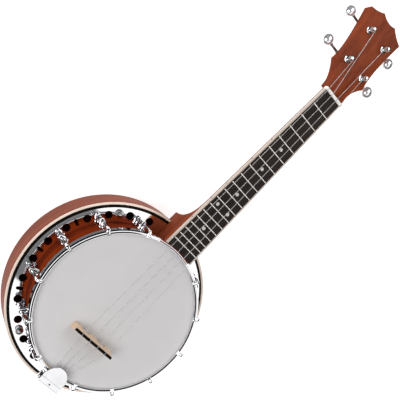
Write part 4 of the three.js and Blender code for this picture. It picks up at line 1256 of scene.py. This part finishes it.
def string_routes(scene):
    """Each string from its knot over the hoop, bridge and nut to its turns on the post"""
    neck = scene.banjo_neck
    tuner = scene.banjo_tuner
    strings = scene.banjo_strings
    knot_place = SHELF_FRONT - LIP_PLATE - KNOT
    routes = []
    for number in range(4):
        step = number - 1.5
        at_tail = step * strings.pitch_tail
        cover_edge = -HOOP_R + math.sqrt(TAIL_HALF ** 2 - at_tail ** 2)
        route = [
            (knot_place, at_tail, TAIL_LEVEL - (SHELF_FRONT - knot_place) * KNOT_FALL),
            (SHELF_FRONT, at_tail, TAIL_LEVEL),
            (cover_edge, at_tail, TAIL_LEVEL),
            (BRIDGE_X, step * strings.pitch_bridge, BRIDGE_TOP),
            (NUT_FRONT + CLEAR + (NUT_BACK - NUT_FRONT - CLEAR) / 2, step * strings.pitch_nut, NUT_TOP),
        ]
        post = post_place(neck, number + 1)
        side = math.copysign(1, post.y)
        radius = tuner.waist / 2 + CLEAR + string_radius(number)
        for wound in range(strings.turns * WIND_STEPS + 1):
            out, across = polar(radius, side * (wound / WIND_STEPS * TURN - TURN / 4))
            up = tuner.waist_end - WIND_ROOM - wound / WIND_STEPS * strings.wind_pitch
            route.append(tuple(headstock_frame(neck) @ Vector((post.x + out, post.y + across, up))))
        routes.append(route)
    return routes


class BANJO_OT_strings(bpy.types.Operator):
    """Add the four strings with their knots and windings"""

    bl_idname = "banjo.strings"
    bl_label = "Add Strings"

    def execute(self, context):
        for number, route in enumerate(string_routes(context.scene)):
            name = f"string_cord_{number + 1}"
            string = pipe(name, route, string_radius(number))
            deselect()
            bpy.ops.mesh.primitive_uv_sphere_add(segments=16, ring_count=10, radius=KNOT / 2,
                                                 location=route[0])
            knot = named("knot")
            bpy.ops.object.transform_apply(location=True, rotation=False, scale=False)
            dressed(smooth(joined(name, [string, knot])), "nylon", "nylon", f"string_{number + 1}")
        return {"FINISHED"}


class BANJO_OT_bridge(bpy.types.Operator):
    """Add the arched maple bridge with its black top"""

    bl_idname = "banjo.bridge"
    bl_label = "Add Bridge"

    def execute(self, context):
        strings = context.scene.banjo_strings
        half = high("bridge").y
        foot = HEAD_TOP + 0.02 * MM
        arch_half = (half - 1.5 * strings.foot_length) / 2
        arch_middle = half - strings.foot_length - arch_half
        arches = [(middle - arch_half * math.cos(turn), foot + strings.arch * math.sin(turn))
                  for middle in (-arch_middle, arch_middle) for turn in sweep(TURN / 2, 14)]
        shoulder = half - strings.shoulder
        outline = [
            (-half, foot), *arches, (half, foot),
            *bend((half, foot), (half, SADDLE_FOOT), (shoulder, SADDLE_FOOT), 8)[3:],
            *bend((-shoulder, SADDLE_FOOT), (-half, SADDLE_FOOT), (-half, foot), 8)[:5],
        ]
        rings = []
        for side in (-1, 1):
            ring = []
            for y, z in outline:
                rise = (z - foot) / (SADDLE_FOOT - foot)
                thick = strings.foot_width + (strings.bridge_top - strings.foot_width) * rise
                ring.append((BRIDGE_X + side * thick / 2, y, z))
            rings.append(ring)
        dressed(softened(skinned("bridge_body", rings), 0.3 * MM), "maple", "maple", "bridge")
        saddle = box_piece("bridge_saddle", (low("bridge_top").x, -half + MM, SADDLE_FOOT),
                           (high("bridge_top").x, half - MM, BRIDGE_TOP))
        along = Vector((10 * MM, 0, 0))
        combined(saddle, [
            rod("groove", Vector(route[BRIDGE_BEND]) - along, Vector(route[BRIDGE_BEND]) + along,
                string_radius(number) + HAIR, 12)
            for number, route in enumerate(string_routes(context.scene))])
        dressed(softened(saddle, 0.2 * MM), "ebony", "blackwood", "bridge_top")
        return {"FINISHED"}


class BANJO_OT_tailpiece(bpy.types.Operator):
    """Add the tailpiece with its hinged cover"""

    bl_idname = "banjo.tailpiece"
    bl_label = "Add Tailpiece"

    def execute(self, context):
        strings = context.scene.banjo_strings
        dressed(self.cover(strings), "satin chrome", "chrome", "tailpiece_cover", body="tailpiece_lid")
        rim = RIM_LEDGE_R - context.scene.banjo_pot.ledge + HAIR
        dressed(self.bracket(strings, rim), "chrome", "chrome", "tailpiece_bracket")
        return {"FINISHED"}

    def barrel(self, strings, start, end):
        """A knuckle of the hinge with softened ends"""
        knuckle = rod("knuckle", (HINGE.x, start, HINGE.z), (HINGE.x, end, HINGE.z), strings.hinge / 2)
        return softened(knuckle, 0.25 * MM)

    def cover(self, strings):
        """Half disc over the string ends, with the short fall behind it and the middle knuckle on its web"""
        rear = -HOOP_R - strings.cover_rear
        outline = [(rear, -TAIL_HALF), *arc(TAIL_HALF, -TURN / 4, TURN / 4, 40, (-HOOP_R, 0)),
                   (rear, TAIL_HALF)]
        leaf = softened(slab("leaf", outline, COVER_TOP - strings.cover, COVER_TOP), 0.45 * MM, 3)
        back = HINGE.x - strings.hinge / 2
        level = COVER_TOP - 0.35 * MM
        under = level - strings.cover
        front = rear + 0.2 * MM
        fall = bar("fall", [
            (front, level), *near(back, level, (0.8, 0), (0.2, -0.25), (0, -0.9)), (back, under - FALL),
            (back + strings.cover, under - FALL), (back + strings.cover, under), (front, under),
        ], -TAIL_HALF, TAIL_HALF)
        combined(fall, [slab("eye", circle(EYE, 24, ((rear + back) / 2, 0.0)), under - MM, level + MM)])
        softened(fall, 0.2 * MM)
        half = strings.hinge_split / 2 - CLEAR
        web = box_piece("web", (HINGE.x - WEB / 2, -half, HINGE.z),
                        (HINGE.x + WEB / 2, half, under + WEB / 2))
        return joined("tail_cover", [leaf, fall, self.barrel(strings, -half, half), web])

    def bracket(self, strings, rim):
        """Strap on the rim, shelf, slotted lip and outer knuckles"""
        hanger = strings.hanger / 2
        plate = strings.hanger_plate
        shelf_top = HINGE.z - strings.hinge / 2 - CLEAR
        shelf_foot = shelf_top - strings.shelf
        front = SHELF_FRONT - plate
        strap = softened(skinned("strap", [
            [(x, -wide, z), (x + plate, -wide, z), (x + plate, wide, z), (x, wide, z)]
            for x, z, wide in (
                (-rim - plate, STRAP_FOOT, hanger * STRAP_TIP_SHARE),
                (-rim - plate, STRAP_FOOT + STRAP_ROUND, hanger * STRAP_ROUND_SHARE),
                (-rim - plate, 2 * ROD_LEVEL - STRAP_FOOT, hanger),
                (front, shelf_foot, hanger),
                (front, shelf_top - MM, hanger),
            )]), 0.3 * MM)
        shelf = box_piece("shelf", (HINGE.x - strings.hinge / 2, -TAIL_HALF, shelf_foot),
                          (SHELF_FRONT, TAIL_HALF, shelf_top))
        softened(shelf, 0.4 * MM)
        lip = box_piece("lip", (SHELF_FRONT - LIP_PLATE, -TAIL_HALF + LIP_PLATE, shelf_top - CLEAR),
                        (SHELF_FRONT, TAIL_HALF - LIP_PLATE, LIP_TOP))
        slots = []
        for number in range(4):
            y = (number - 1.5) * strings.pitch_tail
            width = string_radius(number) + LIP_SLOT_ROOM
            slots.append(box_piece(
                "slot", (SHELF_FRONT - LIP_SLOT_REACH, y - width, TAIL_LEVEL - LIP_SLOT_DEPTH),
                (SHELF_FRONT + LIP_SLOT_REACH, y + width, TAIL_LEVEL + LIP_SLOT_RISE)))
        softened(combined(lip, slots), 0.2 * MM)
        parts = [strap, shelf, lip]
        for side in (1, -1):
            start, end = sorted((side * (strings.hinge_split / 2 + CLEAR), side * TAIL_HALF))
            parts.append(self.barrel(strings, start, end))
            parts.append(box_piece("cheek", (HINGE.x - CHEEK, start, shelf_top - CLEAR),
                                   (HINGE.x + CHEEK, end, HINGE.z)))
        return joined("tail_bracket", parts)


# Tuning machines

STRING_HOLE = 0.55 * MM
TOOTH_DEPTH = 1.1 * MM
# Shares of a tooth's pitch where its flanks start and end, and whether it is at its full height
TOOTH = ((0.0, False), (0.22, True), (0.5, True), (0.72, False))
THREADS = 6
PLATE_TIP = 7.8 * MM
PLATE_PAST_WORM = 4.5 * MM
PLATE_RISE = 1.25 * MM
EAR_ROOT = 0.4 * MM
MACHINE_SCREWS = ((-6.0 * MM, 5.4 * MM), (-6.0 * MM, -5.4 * MM))
SCREW_HEAD = ((0, 0.2), (1.5, 0.2), (1.5, -0.1), (1.2, -0.55), (0.675, -0.8), (0, -0.9))
SCREW_CROSS = (0.16 * MM, 0.9 * MM)


class BANJO_OT_tuners(bpy.types.Operator):
    """Add the four tuning machines"""

    bl_idname = "banjo.tuners"
    bl_label = "Add Tuning Machines"

    def execute(self, context):
        neck = context.scene.banjo_neck
        tuner = context.scene.banjo_tuner
        plate_foot = -neck.headstock_plate - CLEAR - tuner.plate
        worm = (tuner.gear / 2 + tuner.worm / 2 + CLEAR, plate_foot - tuner.gear_drop - tuner.gear_height / 2)
        bases = (self.bushing(neck, tuner), self.post(tuner, plate_foot),
                 self.plate(tuner, plate_foot, worm[0]), self.button(neck, tuner, worm))
        for number in range(1, 5):
            spot = post_place(neck, number)
            matrix = (headstock_frame(neck) @ Matrix.Translation((spot.x, spot.y, 0))
                      @ Matrix.Diagonal((1, math.copysign(1, spot.y), 1, 1)))
            for base, name, body, node, look in zip(bases, *zip(
                ("collar", "instrument", "tuner_bushing", "chrome"),
                ("string_post", f"post_{number}", "tuner_post", "chrome"),
                ("machine_plate", "instrument", "tuner_plate", "chrome"),
                ("oval_button", f"button_{number}", "tuner_button", None),
            )):
                piece = copied(base, f"{name}_{number}", matrix)
                dressed(piece, look, "chrome", f"{node}_{number}", body=body)
        for base in bases:
            bpy.data.objects.remove(base)
        return {"FINISHED"}

    def bushing(self, neck, tuner):
        bore = tuner.post / 2 + 0.15 * MM
        outer = tuner.bushing / 2
        rise = tuner.bushing_rise
        shank = tuner.bushing_shank / 2 - 0.02 * MM
        foot = CLEAR - neck.headstock_plate
        return smooth(turned("bushing_base", [
            (bore, rise * 0.35), (outer - 1.5 * MM, rise * 0.9), (outer - 1.3 * MM, rise),
            (outer - 0.3 * MM, rise * 0.85), (outer, rise * 0.6), (outer, 0.02 * MM),
            (shank, 0.02 * MM), (shank, foot), (bore, foot),
        ], 48), 40)

    def post(self, tuner, plate_foot):
        """Post with a waist, a string hole and the toothed wheel behind"""
        gear_top = plate_foot - tuner.gear_drop
        gear_foot = gear_top - tuner.gear_height
        thick, waist = tuner.post / 2, tuner.waist / 2
        strings = bpy.context.scene.banjo_strings
        waist_start = tuner.waist_end - strings.turns * strings.wind_pitch - 3 * WIND_ROOM
        shaft = turned("post_base", [
            (0, gear_foot - 0.9 * MM),
            *near(thick, gear_foot, (-0.3, -0.9), (0, -0.6), (0, 0.2), (1, 0.2)),
            *near(thick, plate_foot, (1, -0.1), (0, -0.1)),
            (thick, waist_start), *near(waist, waist_start, (0.1, 0.35), (0, 0.8)),
            *near(waist, tuner.waist_end, (0, -0.8), (0.1, -0.35)), (thick, tuner.waist_end),
            *near(thick, tuner.rise, (0, -0.7), (-0.2, -0.25), (-0.7, 0)), (0, tuner.rise),
        ], 40)
        level = tuner.rise - 1.5 * MM
        combined(shaft, [rod("hole", (-5 * MM, 0, level), (5 * MM, 0, level), STRING_HOLE, 16)])
        outline = [polar(tuner.gear / 2 - (0 if full else TOOTH_DEPTH), TURN * (tooth + part) / tuner.teeth)
                   for tooth in range(tuner.teeth) for part, full in TOOTH]
        wheel = softened(slab("wheel", outline, gear_foot, gear_top), 0.15 * MM, 1)
        return joined("post_base", [smooth(shaft, 30), wheel])

    def plate(self, tuner, plate_foot, worm_offset):
        """Plate behind the headstock with two ears and two screws"""
        ear_start = tuner.worm_length / 2 + CLEAR
        end = ear_start + tuner.ear_plate + tuner.plate
        base = box_piece("base", (-PLATE_TIP, -end, plate_foot),
                         (worm_offset + PLATE_PAST_WORM, end, plate_foot + PLATE_RISE))
        bore = rod("bore", (0, 0, plate_foot - 2 * MM), (0, 0, plate_foot + 3 * MM), tuner.post / 2 + CLEAR)
        parts = [softened(combined(base, [bore]), 0.3 * MM)]
        half = tuner.ear / 2
        root = plate_foot + EAR_ROOT
        outline = [(worm_offset - half, root), (worm_offset + half, root),
                   *arc(half, 0, -TURN / 2, 14, (worm_offset, plate_foot - half))]
        for side in (1, -1):
            start, stop = sorted((side * ear_start, side * (ear_start + tuner.ear_plate)))
            parts.append(softened(bar("ear", outline, start, stop), 0.2 * MM))
        parts += [self.screw(x, y, plate_foot) for x, y in MACHINE_SCREWS]
        return joined("plate_base", parts)

    def screw(self, x, y, z):
        """A domed cross-slot wood screw with its head down"""
        dome = turned("dome", near(0, z, *SCREW_HEAD), 24, (x, y))
        for wide, long in (SCREW_CROSS, SCREW_CROSS[::-1]):
            combined(dome, [box_piece("bar", (x - wide, y - long, z - 1.2 * MM),
                                      (x + wide, y + long, z - 0.5 * MM))])
        return smooth(dome)

    def button(self, neck, tuner, worm):
        """Worm, shaft and the oval button on its collar"""
        reach = neck.headstock_half + tuner.button_gap + tuner.button_long - abs(post_place(neck, 1).y)
        worm_end = tuner.worm_length / 2
        ear_end = worm_end + CLEAR + tuner.ear_plate
        shaft = tuner.shaft / 2
        thread = tuner.worm_length / THREADS
        profile = [(0, -ear_end - 0.6 * MM), (shaft, -ear_end - 0.6 * MM), (shaft, -worm_end)]
        root, crest = shaft + 0.1 * MM, tuner.worm / 2
        for number in range(THREADS):
            profile += [(radius, number * thread - worm_end + part * thread)
                        for radius, part in ((root, 0.1), (crest, 0.4), (crest, 0.6), (root, 0.9))]
        near_end = reach - tuner.button_long
        profile += [(shaft, worm_end), *near(shaft, ear_end, (0, 0.1), (0.7, 0.2), (0.7, 1), (0, 1.2)),
                    *near(shaft, near_end, (0, -1.6), (0.3, -1.3), (0.8, -0.4), (0.9, 0.4)),
                    (0, near_end + 0.8 * MM)]
        stem = smooth(turned("stem", profile, 28))
        upright = Matrix.Rotation(-TURN / 4, 4, "X")
        place(stem, Matrix.Translation((worm[0], 0, worm[1])) @ upright)
        oval = turned("oval", [(math.sin(turn), -math.cos(turn)) for turn in sweep(TURN / 2, 20)], 48)
        size = Matrix.Diagonal((tuner.button_wide, tuner.button_long, tuner.button_deep, 1))
        smooth(place(oval, Matrix.Translation((worm[0], reach, worm[1])) @ size @ upright))
        # The oval takes the brightened, partly diffuse chrome, a painted pale reflection
        return joined("button_base", [painted(stem, "oiled steel"), painted(oval, "bright button")])


class BANJO_OT_small_parts(bpy.types.Operator):
    """Give the packed rod, pin and nut their finishes"""

    bl_idname = "banjo.small_parts"
    bl_label = "Dress Small Parts"

    def execute(self, context):
        for node, look in (("coordinator_rod", "oiled steel"), ("tailpiece_pin", "chrome"),
                           ("tailpiece_nut", "chrome")):
            painted(frame["nodes"][node], look)
        return {"FINISHED"}


# Stage

CAMERA_PLACE = (93.27 * MM, 379.43 * MM, 848.16 * MM)
CAMERA_RIGHT = (0.7019, -0.6203, 0.3502)
CAMERA_DOWN = (-0.7080, -0.6617, 0.2467)
CAMERA_FORWARD = (0.0787, -0.4211, -0.9036)
CAMERA_LENS = 65.73
SENSOR = 36.0
FLOOR_MIDDLE = (0.17, -0.08, -0.5 * MM)
OBJECT_MIDDLE = (0.12, 0.0, 0.05)
# Place and size of each lamp, whose power is the property of the same name
LAMPS = (
    ("key", (-0.9, 1.1, 1.5), (1.4, 1.4)),
    ("fill", (1.3, -0.2, 1.3), (0.9, 1.3)),
    ("low front", (1.55, 1.3, 0.25), (0.9, 0.5)),
)
OVERHEAD_LEVEL = 1.6
OVERHEAD_PANELS = (
    ("overhead", (-1.00, 0.80), (-0.62, -1.35)),
    ("overhead left", (-1.10, -0.33), (-0.20, -0.62)),
    ("overhead right", (0.02, 0.80), (-0.40, -0.62)),
)
ROOM_STOPS = ((0.0, 0.012), (0.30, 0.012), (0.45, 0.06), (0.65, 0.12), (0.86, 0.16), (1.0, 0.24))
WHITE = (1.0, 1.0, 1.0, 1.0)


class BANJO_OT_stage(bpy.types.Operator):
    """Add the floor, the lights and the camera"""

    bl_idname = "banjo.stage"
    bl_label = "Add Stage"

    def execute(self, context):
        look = context.scene.banjo_stage
        self.floor(look)
        self.world(context.scene, look)
        for name, spot, size in LAMPS:
            self.lamp(name, spot, size, getattr(look, name.replace(" ", "_")), OBJECT_MIDDLE)
        bpy.data.objects["low front"].visible_glossy = False
        for name, (left, right), (front, back) in OVERHEAD_PANELS:
            size = (right - left, front - back)
            middle = ((left + right) / 2, (front + back) / 2)
            power = look.overhead * math.pi * size[0] * size[1]
            self.lamp(name, (*middle, OVERHEAD_LEVEL), size, power, (*middle, 0))
        self.camera(context.scene)
        context.scene.view_settings.view_transform = "Standard"
        return {"FINISHED"}

    def floor(self, look):
        deselect()
        bpy.ops.mesh.primitive_plane_add(size=look.floor_size, location=FLOOR_MIDDLE)
        floor = named("floor")
        paint = plain("floor paint", tuple(look.floor), toned(look.floor, 0.99), 3.0, 0.8, 0.9,
                      emission_color=WHITE, emission_strength=look.glow)
        floor.data.materials.append(paint)

    def world(self, scene, look):
        """A pale room: bright overhead, darker towards the horizon"""
        world = bpy.data.worlds.new("room")
        world.use_nodes = True
        scene.world = world
        nodes = world.node_tree.nodes
        nodes.clear()
        source, split, ramp, room, backdrop, rays, both, output = [
            nodes.new(f"ShaderNode{kind}") for kind in (
                "TexCoord", "SeparateXYZ", "ValToRGB", "Background", "Background", "LightPath",
                "MixShader", "OutputWorld")]
        stops = ramp.color_ramp.elements
        for number, (spot, level) in enumerate(ROOM_STOPS):
            stop = stops[number] if number < 2 else stops.new(spot)
            stop.position = spot
            stop.color = (level, level, level, 1.0)
        room.inputs["Strength"].default_value = look.sky
        backdrop.inputs["Color"].default_value = WHITE
        for start, outlet, end, socket in (
            (source, "Generated", split, 0), (split, "Z", ramp, 0), (ramp, 0, room, "Color"),
            (rays, "Is Camera Ray", both, 0), (room, 0, both, 1), (backdrop, 0, both, 2),
            (both, 0, output, "Surface"),
        ):
            world.node_tree.links.new(start.outputs[outlet], end.inputs[socket])

    def lamp(self, name, spot, size, power, target):
        lamp = bpy.data.lights.new(name, "AREA")
        lamp.shape = "RECTANGLE"
        lamp.size, lamp.size_y = size
        lamp.energy = power
        holder = bpy.data.objects.new(name, lamp)
        bpy.context.collection.objects.link(holder)
        aim = Vector(target) - Vector(spot)
        holder.matrix_world = Matrix.Translation(spot) @ aim.to_track_quat("-Z", "Y").to_matrix().to_4x4()

    def camera(self, scene):
        lens = bpy.data.cameras.new("camera")
        lens.lens = CAMERA_LENS
        lens.sensor_width = SENSOR
        camera = bpy.data.objects.new("camera", lens)
        scene.collection.objects.link(camera)
        right, down, ahead = Vector(CAMERA_RIGHT), Vector(CAMERA_DOWN), Vector(CAMERA_FORWARD)
        axes = Matrix((right, -down, -ahead)).transposed()
        camera.matrix_world = Matrix.Translation(CAMERA_PLACE) @ axes.to_4x4()
        scene.camera = camera


GROUPS = (
    ("banjo_pot", PotSizes),
    ("banjo_hooks", HookSizes),
    ("banjo_neck", NeckSizes),
    ("banjo_tuner", TunerSizes),
    ("banjo_strings", StringSizes),
    ("banjo_colours", FinishColours),
    ("banjo_stage", StageLook),
)
OPERATORS = (
    BANJO_OT_stage,
    BANJO_OT_resonator,
    BANJO_OT_flange,
    BANJO_OT_rim,
    BANJO_OT_head,
    BANJO_OT_hoop,
    BANJO_OT_hooks,
    BANJO_OT_thumbscrews,
    BANJO_OT_neck,
    BANJO_OT_fretboard,
    BANJO_OT_nut,
    BANJO_OT_strings,
    BANJO_OT_bridge,
    BANJO_OT_tailpiece,
    BANJO_OT_tuners,
    BANJO_OT_small_parts,
)


class BANJO_PT_panel(bpy.types.Panel):
    """Lists the sizes, colours and pieces"""

    bl_idname = "BANJO_PT_panel"
    bl_label = "Banjo Ukulele"
    bl_space_type = "VIEW_3D"
    bl_region_type = "UI"
    bl_category = "Banjo Ukulele"

    def draw(self, context):
        for operator in OPERATORS:
            self.layout.operator(operator.bl_idname)
        for attribute, group in GROUPS:
            column = self.layout.box().column()
            column.label(text=group.__doc__)
            for name in group.__annotations__:
                column.prop(getattr(context.scene, attribute), name)


def register():
    for attribute, group in GROUPS:
        bpy.utils.register_class(group)
        setattr(bpy.types.Scene, attribute, PointerProperty(type=group))
    for operator in OPERATORS:
        bpy.utils.register_class(operator)
    bpy.utils.register_class(BANJO_PT_panel)


def unregister():
    bpy.utils.unregister_class(BANJO_PT_panel)
    for operator in reversed(OPERATORS):
        bpy.utils.unregister_class(operator)
    for attribute, group in reversed(GROUPS):
        delattr(bpy.types.Scene, attribute)
        bpy.utils.unregister_class(group)


def main():
    register()
    for operator in OPERATORS:
        group, name = operator.bl_idname.split(".")
        getattr(getattr(bpy.ops, group), name)()


if __name__ == "__main__":
    main()
